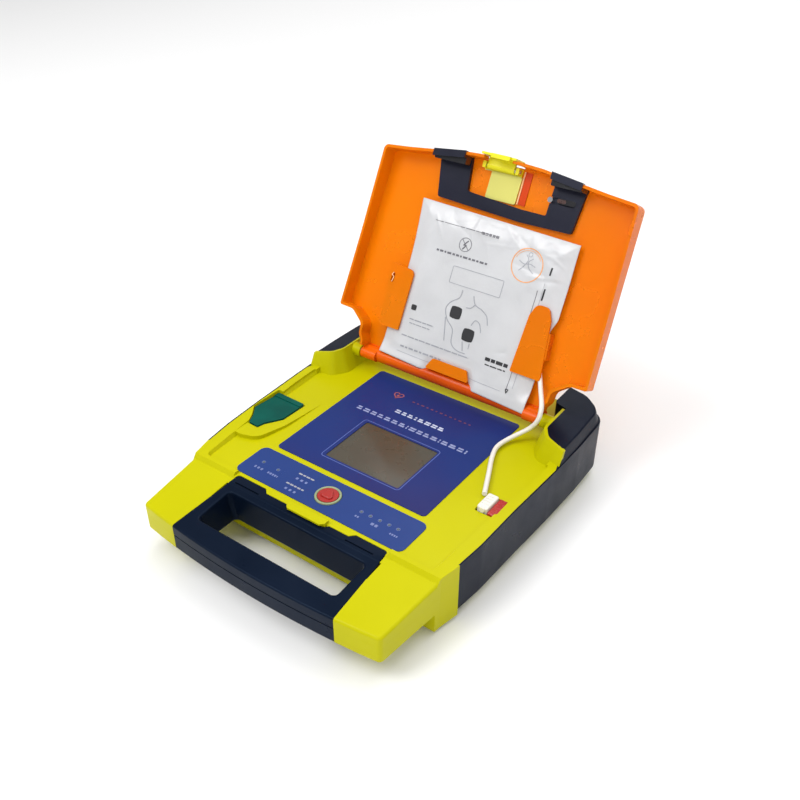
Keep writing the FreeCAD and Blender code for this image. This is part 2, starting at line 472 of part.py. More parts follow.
# button: bezel ring, cap, spring, switch
bx, by = BUTTON
bez = cyl(bx, by, DECK_Z - 3.4, 10.8, 5.3).cut(cyl(bx, by, 40, 8.75, 20))
bez = bez.fuse(cyl(bx, by, DECK_Z - 3.4, 10.8, 1.0).cut(cyl(bx, by, 40, 4.4, 20)))
bez = fillet(bez, 0.8, lambda e: flat_at(e, DECK_Z + 1.9), "bezel")
add("button_bezel", bez)
cap = cyl(bx, by, DECK_Z - 0.4, BUTTON_R, 2.2)
TRI = [(bx - 7.4, by - 4.2, 2.6), (bx + 7.4, by - 4.2, 2.6), (bx, by + 7.6, 2.6)]
cap = cap.fuse(prism(TRI, DECK_Z + 1.5, DECK_Z + 3.2)).removeSplitter()
cap = fillet(cap, 0.9, lambda e: flat_at(e, DECK_Z + 3.2), "cap")
cap = cap.fuse(cyl(bx, by, DECK_Z - 5.2, 2.2, 5.2)).removeSplitter()
add("shock_button", cap)


sp = Part.makeCone(5.8, 3.5, 1.9, V(bx, by, DECK_Z - 2.35)).cut(Part.makeCone(5.2, 2.9, 1.9, V(bx, by, DECK_Z - 2.35)))
add("button_spring", sp)
sw = box(bx - 3.1, by - 3.1, 41.0, bx + 3.1, by + 3.1, 43.6).fuse(cyl(bx, by, 43.5, 1.6, 0.6))
add("button_switch", sw)
kb = prism(rect(-78.0, 74.0, 78.0, 104.0, 2.0), 39.4, 41.0)
kb = kb.cut(cyl(-70, 78, 30, 1.6, 20)).cut(cyl(70, 78, 30, 1.6, 20))
add("keypad_board", kb)
add("handle_screws", Part.makeCompound([screw(x, 64.0, 41.5, 6.0, 1.3, 2.8, 2.0) for x in (-60.0, 60.0)]))
leds = []
for x, y in LEDS_L + LEDS_R:
    leds.append(cyl(x, y, 41.0, 1.0, DECK_Z + 0.9 - 41.0))
pipes = Part.makeCompound(leds)
add("indicator_light_pipes", pipes)
for name in ("upper_case", "control_strip"):
    sh = NODES[name]
    for x, y in LEDS_L + LEDS_R:
        sh = sh.cut(cyl(x, y, 44.0, 1.05, 12))
    NODES[name] = sh.removeSplitter()

# ---- data port and its cover --------------------------------------------------
cov = sloped(PORT, -1.2, 1.2)
cov = cov.fuse(sloped([(-125.3, 171.6, 1.0), (-95.4, 171.0, 1.0), (-95.3, 165.5), (-125.5, 166.0)], 1.0, 1.9))
cov = cov.cut(box(-113.5, 119.0, 50.0, -105.0, 123.0, 53.6))
add("port_cover", cov.removeSplitter())
PCH_Y, PCH_Z = 171.2, mound_z(171.2) + 1.2
dp = box(-117.0, 144.5, 43.0, -101.5, 161.0, 50.6)
dp = dp.cut(prism([(-115.6, 147.0, 1), (-102.9, 147.0, 1), (-104.4, 154.0, 1), (-114.1, 154.0, 1)], 45.5, 52.0))
dp = dp.fuse(prism(rect(-120.4, 140.6, -97.6, 164.6, 1.5), 46.8, DECK_Z - WALL - 0.02))
dp = dp.cut(prism([(-115.6, 147.0, 1), (-102.9, 147.0, 1), (-104.4, 154.0, 1), (-114.1, 154.0, 1)], 45.5, 52.0))
add("data_port", dp.removeSplitter())

# ---- pads socket, plug ---------------------------------------------------------
NODES["upper_case"] = NODES["upper_case"].fuse(prism(rect(RECESS[0] - 1.6, RECESS[1] - 1.6, RECESS[2] + 1.6, RECESS[3] + 1.6, 2.0), 41.0, 48.6).cut(prism(rect(*RECESS, 1.5), 42.6, 60))).removeSplitter()
sock = prism(rect(110.5, 143.6, 119.0, 164.0, 1.2), 42.7, 52.6)
sock = sock.cut(prism(rect(109.5, 147.6, 113.2, 160.4, 0.5), 44.6, 50.0))
sock = fillet(sock, 0.9, lambda e: flat_at(e, 52.6), "socket")
add("pads_socket", sock.removeSplitter())
plug = prism(rect(101.0, 144.5, 110.3, 163.0, 1.6), 43.4, 55.0)
plug = fillet(plug, 1.2, lambda e: flat_at(e, 55.0), "plug")
plug = plug.fuse(prism(rect(110.0, 148.0, 113.0, 160.0, 0.4), 45.0, 49.6))
for k in range(4):
    plug = plug.cut(box(102.6, 148.6 + 3.2 * k, 54.5, 108.7, 149.9 + 3.2 * k, 56))
plug = plug.fuse(cyl(106.2, 143.2, 53.3, 2.2, 3.0, (0, 1, 0)))
add("pads_plug", plug.removeSplitter())

# ---- lid, drawn closed ----------------------------------------------------------
LID_FRONT = [(-122.3, 69.3), (-96.0, 67.0), (-70.0, 63.9), (-35.0, 59.6), (0.0, 57.9), (35.0, 59.6), (70.0, 63.9), (96.0, 67.0), (122.3, 69.3)]
def lid_outline(d):
    f = [(x * (1 - d / 122.3), y + d) for x, y in LID_FRONT]
    f = [(f[0][0], f[0][1], max(5.0 - d, 2.0))] + [(p[0], p[1], 60.0) for p in f[1:-1]] + [(f[-1][0], f[-1][1], max(5.0 - d, 2.0))]
    side = [(127.4 - d, 220.2 - d, 2.0), (112.0 - 0.35 * d, 220.6 - d, 9.0), (98.9 - d, 230.6 - 0.75 * d, 7.0), (98.5 - d, 240.0 - 0.4 * d, 8.0), (94.4 - d, 246.0, 5.0), (94.4 - d, RAIL_Y)]
    left = [(-p[0],) + tuple(p[1:]) for p in reversed(side)]
    return f + side + left


lid_prof = yz_slab([(30, 53.8), (30, 90), (290, 90), (290, 56.8), (150, 56.8), (66, 54.4)])
lid = prism(lid_outline(0.0), 50.0, LID_TOP_Z).common(lid_prof)
lid = fillet(lid, 3.0, lambda e: flat_at(e, LID_TOP_Z) and e.BoundBox.YMax < 246, "lid top")
lid = lid.cut(prism(lid_outline(2.4), 40.0, LID_FLOOR_Z).common(box(-200, 0, 0, 200, RAIL_Y - 5.0, 90)))
lid = lid.cut(box(-96, RAIL_Y - 5.1, 40, 96, HINGE_Y + 20, RAIL_Z - 3.0))
lid = lid.fuse(cyl(-94.4, RAIL_Y, RAIL_Z, RAIL_R, 188.8, (1, 0, 0)))
for s in (1, -1):
    lid = lid.fuse(cyl(s * 78.0, HINGE_Y, HINGE_Z, HINGE_R, 16.4, (s, 0, 0)))
for s in (1, -1):
    lid = lid.cut(cyl(s * 74.0, HINGE_Y, HINGE_Z, PIN_R, 30.0, (s, 0, 0)))
lid = lid.removeSplitter()
# window for the latch, and front skirt lowered beside the latch
lid = lid.cut(box(-25.3, 50.0, 50.0, 11.3, 58.9, 69.0))
lid = lid.cut(box(-25.3, 50.0, 63.2, 11.3, 62.6, 69.0))
lid = lid.cut(box(-20.8, 50.0, 50.0, 6.8, 62.6, 69.0))
lid = lid.cut(box(-25.3, 50.0, 68.9, 11.3, 61.6, 80.0))
lid = lid.removeSplitter()
add("lid_shell", lid, True)

# hinge pins, pressed into the barrel
for s, name in ((1, "hinge_pin_right"), (-1, "hinge_pin_left")):
    add(name, cyl(s * 75.0, HINGE_Y, HINGE_Z, PIN_R, 28.6, (s, 0, 0)), True)

# navy U trim
trim = prism([(-70.0, 63.6), (-38.4, 61.5), (-34.6, 90.8, 2.0), (20.0, 94.6, 30.0), (43.4, 94.6, 1.5), (43.8, 61.8), (73.0, 63.8), (69.8, 104.0, 2.5), (20.4, 105.2, 40.0), (-62.2, 101.6, 2.5)], 67.2, LID_FLOOR_Z - 0.02)
for x0, x1, y in ((-70.0, -38.4, 59.4), (44.0, 73.0, 59.9)):
    yc = 66.5
    trim = trim.fuse(prism([(x0, y + 3.0), (x1, y + 3.0), (x1, yc + 4.0, 1.0), (x0, yc + 4.0, 1.0)], 57.4, 67.4))
trim = trim.cut(prism(rect(39.0, 78.2, 66.5, 83.6, 2.6), 60.0, 70.0))
lid_outer = prism(lid_outline(2.45), 40.0, LID_FLOOR_Z)
trim = trim.common(lid_outer)
wrap = prism(lid_outline(-0.8), 53.0, 57.6).cut(prism(lid_outline(-0.03), 54.35, 60.0)).fuse(prism(lid_outline(2.43), 53.0, 57.6)).cut(prism(lid_outline(5.0), 50.0, 60.0))
wrap = wrap.common(box(-70.0, 50.0, 50.0, -38.4, 75.0, 60.0).fuse(box(44.0, 50.0, 50.0, 73.0, 75.0, 60.0)))
trim = trim.fuse(wrap).removeSplitter()
if len(trim.Solids) > 1:
    print("trim solids", len(trim.Solids))
add("lid_trim", trim, True)
add("lid_magnet", cyl(43.2, 81.0, 66.9, 2.3, 3.0), True)

# clips that hold the pads pouch
cl = prism([(-86.5, 168.0, 3.0), (-61.0, 170.5, 5.0), (-61.5, 226.0, 1.0), (-82.5, 226.0, 1.0)], 61.2, 63.2)
cl = cl.fuse(prism([(-86.0, 176.0), (-83.9, 176.0), (-80.2, 224.0), (-82.3, 224.0)], 62.0, LID_FLOOR_Z - 0.02))
cl = cl.cut(prism(rect(-82.9, 177.0, -79.6, 186.0, 1.5), 55.0, 64.0))
add("pouch_clip_left", cl.removeSplitter(), True)
cr = prism([(58.2, 176.0, 3.0), (62.5, 165.6, 6.0), (74.0, 165.6, 6.0), (78.5, 176.0, 3.0), (84.0, 222.0, 2.0), (84.0, 226.0, 1.0), (55.7, 226.0, 1.0)], 61.2, 63.2)
cr = cr.fuse(prism([(79.3, 186.0), (81.4, 186.0), (83.6, 208.0), (81.5, 208.0)], 62.0, LID_FLOOR_Z - 0.02))
add("pouch_clip_right", cr.removeSplitter(), True)
cb = prism([(-24.0, 249.0, 1.0), (-18.5, 239.0, 2.5), (17.0, 239.0, 2.5), (21.0, 249.0, 1.0)], 61.4, 63.4)
cb = cb.fuse(box(-22.0, 247.4, 62.0, 19.5, 248.9, 66.5)).cut(cyl(-96, RAIL_Y, RAIL_Z, RAIL_R + 0.05, 192, (1, 0, 0)))
add("pouch_clip_bottom", cb.removeSplitter(), True)

# sealed electrode pouch behind the clips
pouch = prism([(-77.2, 107.0, 3.0), (78.0, 111.0, 3.0), (73.6, 247.0, 3.0), (-77.6, 246.0, 3.0)], 64.2, 69.4)
add("pads_pouch", pouch, True)

# latch lever with hook, pin and spring
LATCH_Y, LATCH_Z = 65.6, 65.4
lat = box(-23.6, 56.5, 53.6, 9.6, 58.4, 71.6)
lat = lat.fuse(prism([(-23.6, 56.5), (9.6, 56.5), (9.6, 59.6), (-23.6, 59.6)], 69.3, 71.6))
lat = lat.fuse(box(-20.0, 57.4, 62.6, 6.0, 65.6, 65.2))
lat = lat.fuse(cyl(-20.0, LATCH_Y, LATCH_Z, 3.2, 26.0, (1, 0, 0)))
lat = lat.fuse(box(-13.0, 56.5, 51.0, 5.0, 58.4, 54.0)).fuse(box(-13.0, 58.0, 51.0, 5.0, 60.1, 52.0))
lat = lat.cut(cyl(-30.0, LATCH_Y, LATCH_Z, 1.56, 50.0, (1, 0, 0)))
lat = fillet(lat.removeSplitter(), 0.8, lambda e: e.BoundBox.YMax < 56.6 and abs(e.BoundBox.ZMax - e.BoundBox.ZMin) < 0.01 and e.BoundBox.ZMin > 60, "latch")
add("latch_lever", lat, True)
keep = box(-25.0, 62.8, 69.4, 11.0, 69.6, LID_FLOOR_Z - 0.02)
for x0 in (-24.6, 7.6):
    keep = keep.fuse(box(x0, 62.9, 62.6, x0 + 3.0, 68.4, 70.0))
keep = keep.fuse(prism(rect(-17.5, 69.0, 12.0, 92.4, 1.5), 69.2, LID_FLOOR_Z - 0.02))
keep = keep.cut(cyl(-30.0, LATCH_Y, LATCH_Z, 1.5, 50.0, (1, 0, 0)))
keep = keep.removeSplitter()
add("latch_bracket", keep, True)
add("latch_pin", cyl(-25.2, LATCH_Y, LATCH_Z, 1.5, 36.4, (1, 0, 0)), True)
ls = Part.makeTorus(2.4, 0.35, V(0, 0, 0), V(1, 0, 0))
ls.translate(V(6.8, LATCH_Y, LATCH_Z))
add("latch_spring", ls, True)

# ---- inside: electronics ----------------------------------------------------------
pcb = prism(rect(-78.0, 110.0, 78.0, 170.0, 2.0), 30.0, 31.6)
for x0, y0, x1, y1, hh in ((-30, 120, -8, 142, 2.2), (0, 118, 14, 132, 1.8), (22, 124, 50, 134, 3.0), (-66, 116, -48, 128, 4.0), (-66, 140, -40, 158, 2.4), (10, 146, 30, 160, 2.0), (48, 146, 66, 160, 5.0)):
    pcb = pcb.fuse(box(x0, y0, 31.5, x1, y1, 31.6 + hh))
for x in (-20, -12, 36):
    pcb = pcb.fuse(cyl(x, 162, 31.5, 2.5, 6.5))
for x, y in ((-73, 115), (73, 115), (-73, 165), (73, 165)):
    pcb = pcb.cut(cyl(x, y, 20, 1.6, 30))
add("main_board", pcb.removeSplitter())
posts = []
for x, y in ((-73, 115), (73, 115), (-73, 165), (73, 165)):
    lo2 = cyl(x, y, BASE_Z + 0.5, 3.6, 30.0 - BASE_Z - 0.5).cut(cyl(x, y, 12, 1.1, 30))
    posts.append(lo2)
lo = NODES["lower_case"]
for p in posts:
    lo = lo.fuse(p)
NODES["lower_case"] = lo.removeSplitter()
add("board_screws", Part.makeCompound([screw(x, y, 33.6, 10.0, 1.05, 2.6, 1.9, (0, 0, -1)) for x, y in ((-73, 115), (73, 115), (-73, 165), (73, 165))]))
hv = cyl(-100.0, 208.0, 21.5, 14.9, 66.0, (0, 1, 0))
hv = fillet(hv, 2.0, lambda e: True, "hv")
hv = hv.fuse(cyl(-104.0, 204.5, 21.5, 1.8, 4.0, (0, 1, 0))).fuse(cyl(-96.0, 204.5, 21.5, 1.8, 4.0, (0, 1, 0)))
add("hv_capacitor", hv.removeSplitter())
add("capacitor_clamp", Part.makeCylinder(16.6, 16.0, V(-100.0, 236.0, 21.5), V(0, 1, 0)).cut(Part.makeCylinder(15.03, 18.0, V(-100.0, 235.0, 21.5), V(0, 1, 0))).fuse(box(-119.0, 236.0, 5.6, -81.0, 252.0, 7.4).cut(Part.makeCylinder(15.03, 18.0, V(-100.0, 235.0, 21.5), V(0, 1, 0)))).fuse(box(-104.0, 236.0, 5.6, -96.0, 252.0, 6.6)).common(box(-140.0, 200.0, 5.65, -60.0, 300.0, 60.0)).cut(cyl(-100.0, 200.0, 21.5, 14.95, 80.0, (0, 1, 0))).removeSplitter())
tr = box(78.0, 98.0, 6.0, 110.0, 124.0, 10.0).fuse(box(78.0, 98.0, 24.0, 110.0, 124.0, 28.0))
tr = tr.fuse(box(78.0, 98.0, 9.9, 83.0, 124.0, 24.1)).fuse(box(105.0, 98.0, 9.9, 110.0, 124.0, 24.1))
tr = tr.fuse(cyl(94.0, 111.0, 9.9, 9.4, 14.2))
add("charging_transformer", tr.removeSplitter())
hs = box(-112.0, 92.0, 6.0, -84.0, 186.0, 9.0)
for k in range(8):
    hs = hs.fuse(box(-112.0 + 3.7 * k, 92.0, 8.9, -110.4 + 3.7 * k, 150.0, 22.0))
for k in range(4):
    hs = hs.fuse(box(-106.0, 152.5 + 8.4 * k, 8.9, -94.0, 157.0 + 8.4 * k, 22.0))
hs = hs.common(box(-111.99, 92, 0, -84.0, 186.0, 50))
add("output_module", hs.removeSplitter())
rl = box(84.0, 140.0, 6.0, 104.0, 158.0, 20.0)
rl = fillet(rl, 1.0, lambda e: flat_at(e, 20.0), "relay")
add("discharge_relay", rl)

bat = []
for i in range(5):
    for j in range(2):
        bat.append(cyl(BATT[0] + 11.0 + 20.4 * i, BATT[1] + 2.6 + 41.2 * j, 17.4, 8.6, 38.6, (0, 1, 0)))
bp = prism(rect(BATT[0] + 0.6, BATT[1] + 1.6, BATT[2] - 0.6, BATT[3] - 1.6, 4.0), 7.0, 26.6)
for x in [BATT[0] + 20.9 + 20.4 * i for i in range(4)]:
    bp = bp.cut(prism([(x - 2.2, 170), (x + 2.2, 170), (x + 0.6, 171), (x + 0.6, 270), (x - 0.6, 270), (x - 0.6, 171)], 25.2, 30))
add("battery_pack", bp.removeSplitter())
bc = prism(rect(BATT[0] - 0.6, BATT[1] - 0.6, BATT[2] + 0.6, BATT[3] + 0.6, 2.6), BASE_Z + 0.1, BASE_Z + 1.7)
for k in range(5):
    bc = bc.cut(prism(rect(-12.0, BATT[1] + 5.0 + 3.0 * k, 12.0, BATT[1] + 6.4 + 3.0 * k, 0.6), BASE_Z - 1, BASE_Z + 0.8))
add("battery_cover", bc.removeSplitter())

spk = Part.makeCone(23.0, 15.0, 9.0, V(SPK[0], SPK[1], 8.4))
spk = spk.fuse(cyl(SPK[0], SPK[1], 5.7, 24.5, 2.8)).fuse(cyl(SPK[0], SPK[1], 17.0, 13.0, 7.0))
spk = spk.cut(Part.makeCone(21.0, 6.0, 8.0, V(SPK[0], SPK[1], 5.6)))
add("speaker", spk.removeSplitter())
add("reed_switch", box(40.0, 74.5, 42.2, 54.0, 77.5, 44.6).fuse(cyl(38.5, 76.0, 43.4, 0.4, 17.0, (1, 0, 0))))


def tube(points, d, label):
    """Round tube along straight runs joined by tangent arcs."""
    pts = [V(*p) for p in points]
    n = len(pts)
    edges = []
    cur = pts[0]
    rad = []
    for i in range(1, n - 1):
        a, p, b = pts[i - 1], pts[i], pts[i + 1]
        u, w = (a - p), (b - p)
        la, lb = u.Length, w.Length
        u.normalize()
        w.normalize()
        ang = math.acos(max(-1, min(1, u.dot(w))))
        turn = math.pi - ang
        run = min(la, lb)
        r = 0.45 * run / math.tan(turn / 2)
        t = 0.45 * run
        rad.append(round(r, 1))
        bis = u + w
        bis.normalize()
        c = p + bis * (r / math.sin(ang / 2))
        s, e, m = p + u * t, p + w * t, c - bis * r
        edges.append(Part.LineSegment(cur, s).toShape())
        edges.append(Part.Arc(s, m, e).toShape())
        cur = e
    edges.append(Part.LineSegment(cur, pts[-1]).toShape())
    path = Part.Wire(edges)
    t0 = pts[1] - pts[0]
    prof = Part.Wire([Part.makeCircle(d / 2, pts[0], t0)])
    sh = path.makePipeShell([prof], True, False, 1)
    want = path.Length * math.pi * d * d / 4
    print(label, "length", round(path.Length, 1), "radii", rad, "volume ratio", round(sh.Volume / want, 4), sh.isValid())
    return sh


add("battery_harness", tube([(40, 171.7, 22.0), (43, 158.0, 22.5), (56, 146.0, 24.0), (56, 131.0, 26.2), (50, 122.0, 28.5)], 2.6, "battery harness"))
add("capacitor_harness", tube([(-104.0, 204.0, 21.5), (-104.0, 196.0, 22.5), (-98.0, 190.0, 25.0), (-86.0, 184.0, 27.0), (-78.0, 172.0, 28.0), (-62.0, 166.0, 28.4)], 2.4, "capacitor harness"))
add("speaker_harness", tube([(84.0, 207.5, 26.0), (84.0, 196.0, 26.6), (80.0, 184.0, 27.0), (70.0, 176.0, 28.0), (60.0, 166.0, 28.6)], 2.0, "speaker harness"))

# ---- pads lead: leaves the pouch in the open lid and ends in the plug ------------
LEAD = [(75.3, 273.2, 99.6), (85.0, 271.9, 98.6), (91.2, 264.4, 93.9), (92.6, 257.2, 92.2), (99.3, 249.6, 85.0), (99.0, 246.8, 73.4),
        (93.4, 246.4, 63.0), (84.6, 238.4, 56.8), (78.2, 226.4, 54.4), (77.6, 210.0, 54.2), (84.4, 192.0, 53.9), (92.4, 175.0, 53.8), (97.2, 158.6, 53.7),
        (96.6, 146.0, 53.6), (97.2, 138.0, 53.5), (101.6, 133.4, 53.4), (106.2, 137.4, 53.3), (106.2, 143.2, 53.3)]
add("pads_lead", tube(LEAD, LEAD_D, "pads lead"))

# ---- place everything in the row frame --------------------------------------------
turn = [n for n in LID_NODES]
for n in turn:
    NODES[n].rotate(V(0, HINGE_Y, HINGE_Z), V(1, 0, 0), -LID_OPEN)


def main():
    os.makedirs("parts", exist_ok=True)
    lo = [1e9] * 3
    hi = [-1e9] * 3
    for name, sh in NODES.items():
        sh = sh.copy()
        sh.translate(V(0, -ORIGIN_Y, 0))
        if not sh.isValid():
            print("INVALID", name)
        ns = len(sh.Solids)
        if ns != 1 and name not in ("rubber_feet", "case_screws", "handle_screws", "board_screws", "indicator_light_pipes"):
            print("SOLIDS", name, ns)
        b = sh.BoundBox
        lo = [min(a, c) for a, c in zip(lo, (b.XMin, b.YMin, b.ZMin))]
        hi = [max(a, c) for a, c in zip(hi, (b.XMax, b.YMax, b.ZMax))]
        sh.exportStep("parts/%s.step" % name)
    print("nodes", len(NODES), "box", [round(v, 2) for v in lo], [round(v, 2) for v in hi])


main()
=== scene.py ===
import bpy
import bmesh
import math
import random
from mathutils import Vector, Matrix, noise


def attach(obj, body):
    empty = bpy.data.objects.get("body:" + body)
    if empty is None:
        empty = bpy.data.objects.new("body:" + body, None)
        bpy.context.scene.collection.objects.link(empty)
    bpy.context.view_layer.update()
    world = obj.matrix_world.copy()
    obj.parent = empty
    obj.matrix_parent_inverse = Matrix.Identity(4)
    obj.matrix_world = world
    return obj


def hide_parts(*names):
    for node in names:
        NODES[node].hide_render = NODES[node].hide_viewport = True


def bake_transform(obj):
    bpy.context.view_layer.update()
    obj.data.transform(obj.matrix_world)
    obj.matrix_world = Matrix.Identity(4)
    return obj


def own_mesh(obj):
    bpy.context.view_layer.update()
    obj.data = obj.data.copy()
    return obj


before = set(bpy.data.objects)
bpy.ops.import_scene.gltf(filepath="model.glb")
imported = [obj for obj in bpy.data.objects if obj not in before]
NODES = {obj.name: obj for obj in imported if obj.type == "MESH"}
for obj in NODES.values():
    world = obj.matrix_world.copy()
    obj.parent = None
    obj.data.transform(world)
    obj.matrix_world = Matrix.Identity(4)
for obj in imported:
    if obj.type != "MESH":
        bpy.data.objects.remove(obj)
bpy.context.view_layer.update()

SCENE = bpy.context.scene
OY = 174.0
HY, HZ = 256.4, 66.7
OPEN = math.radians(117.0)
CO, SO = math.cos(OPEN), math.sin(OPEN)


def C(x, y, z):
    """A point of the case, drawn in millimetres from the handle's corners, in the row frame."""
    return Vector((x / 1000.0, (y - OY) / 1000.0, z / 1000.0))


def L(x, y, z):
    """A point of the lid, drawn closed in millimetres, where it is with the lid open."""
    dy, dz = y - HY, z - HZ
    return C(x, HY + dy * CO + dz * SO, HZ - dy * SO + dz * CO)


# ---------------------------------------------------------------- camera, light
AZ, EL = math.radians(36.0), math.radians(34.4)
BACK = Vector((math.sin(AZ) * math.cos(EL), -math.cos(AZ) * math.cos(EL), math.sin(EL)))
cam_data = bpy.data.cameras.new("camera")
cam_data.lens = 36.0 * 896.2 / 800.0
cam_data.sensor_width = 36.0
cam_data.clip_start, cam_data.clip_end = 0.01, 50.0
cam = bpy.data.objects.new("camera", cam_data)
SCENE.collection.objects.link(cam)
cam.location = C(357.2, -307.0, 504.7)
cam.rotation_mode = "QUATERNION"
cam.rotation_quaternion = (-BACK).to_track_quat("-Z", "Y")
SCENE.camera = cam


def area(name, loc, target, size, power, color=(1, 1, 1)):
    d = bpy.data.lights.new(name, "AREA")
    d.shape = "RECTANGLE"
    d.size, d.size_y = size
    d.energy = power
    d.color = color
    o = bpy.data.objects.new(name, d)
    SCENE.collection.objects.link(o)
    o.location = loc
    o.rotation_mode = "QUATERNION"
    o.rotation_quaternion = (Vector(target) - Vector(loc)).to_track_quat("-Z", "Y")
    return o


area("key", (-0.9, -1.3, 2.1), (0, 0, 0.05), (1.2, 1.2), 34.0)
area("fill", (0.9, -2.2, 1.3), (0, 0, 0.08), (1.3, 1.0), 13.0)
area("top", (0.3, 0.2, 2.6), (0, 0.1, 0), (2.2, 2.2), 30.0)
area("rim", (1.5, 1.1, 1.3), (0.1, 0.1, 0.05), (0.9, 0.5), 4.0)
area("far", (-0.6, 3.4, 3.2), (-0.8, 3.6, 0.0), (3.0, 3.0), 75.0)

world = bpy.data.worlds.new("studio")
SCENE.world = world
world.use_nodes = True
bg = world.node_tree.nodes["Background"]
bg.inputs[0].default_value = (1.0, 1.0, 1.0, 1.0)
bg.inputs[1].default_value = 0.40
SCENE.view_settings.view_transform = "Standard"


# ---------------------------------------------------------------- cord
LEAD_MM = [(75.3, 274.7, 102.7), (79.2, 274.1, 102.0), (82.0, 270.9, 97.4), (88.4, 261.6, 91.2), (93.6, 253.9, 88.2), (97.0, 249.0, 83.0), (97.3, 244.4, 74.0),
        (91.6, 243.2, 64.6), (83.6, 238.2, 58.2), (77.4, 228.6, 55.0), (75.0, 216.0, 54.3), (79.6, 201.8, 54.2), (88.1, 183.6, 54.2), (94.87, 168.2, 54.2), (98.6, 159.8, 54.2)]


def nurbs(name, pts, radius, order=3):
    cu = bpy.data.curves.new(name, "CURVE")
    cu.dimensions = "3D"
    sp = cu.splines.new("NURBS")
    sp.points.add(len(pts) - 1)
    for q, p in zip(sp.points, pts):
        q.co = (p[0], p[1], p[2], 1.0)
    sp.order_u = order
    sp.use_endpoint_u = True
    sp.resolution_u = 16
    cu.bevel_depth = radius
    cu.bevel_resolution = 6
    cu.use_fill_caps = True
    o = bpy.data.objects.new(name, cu)
    SCENE.collection.objects.link(o)
    return o


route = nurbs("pads_lead_route", [C(*p) for p in LEAD_MM], 0.0)
route_mesh = bpy.data.meshes.new_from_object(route.evaluated_get(bpy.context.evaluated_depsgraph_get()))
ROUTE = [v.co.copy() for v in route_mesh.vertices]
bpy.data.objects.remove(route)
bpy.data.meshes.remove(route_mesh)


def tube_mesh(name, pts, radius, n=18):
    """A round tube with closed ends along a line of points."""
    verts, faces = [], []
    t = (pts[1] - pts[0]).normalized()
    u = t.orthogonal().normalized()
    for i, p in enumerate(pts):
        a, c = pts[max(i - 1, 0)], pts[min(i + 1, len(pts) - 1)]
        t2 = (c - a).normalized()
        u = (t.rotation_difference(t2) @ u).normalized()
        u = (u - t2 * u.dot(t2)).normalized()
        t = t2
        w = t.cross(u)
        for k in range(n):
            q = 2 * math.pi * k / n
            verts.append(p + (u * math.cos(q) + w * math.sin(q)) * radius)
    for i in range(len(pts) - 1):
        for k in range(n):
            a = i * n
            faces.append((a + k, a + (k + 1) % n, a + n + (k + 1) % n, a + n + k))
    faces.append(tuple(range(n - 1, -1, -1)))
    faces.append(tuple(range((len(pts) - 1) * n, len(pts) * n)))
    me = bpy.data.meshes.new(name)
    me.from_pydata([tuple(v) for v in verts], [], faces)
    for f in me.polygons:
        f.use_smooth = len(f.vertices) == 4
    o = bpy.data.objects.new(name, me)
    SCENE.collection.objects.link(o)
    return o


lead = tube_mesh("pads_lead_cord", ROUTE, 0.0020)


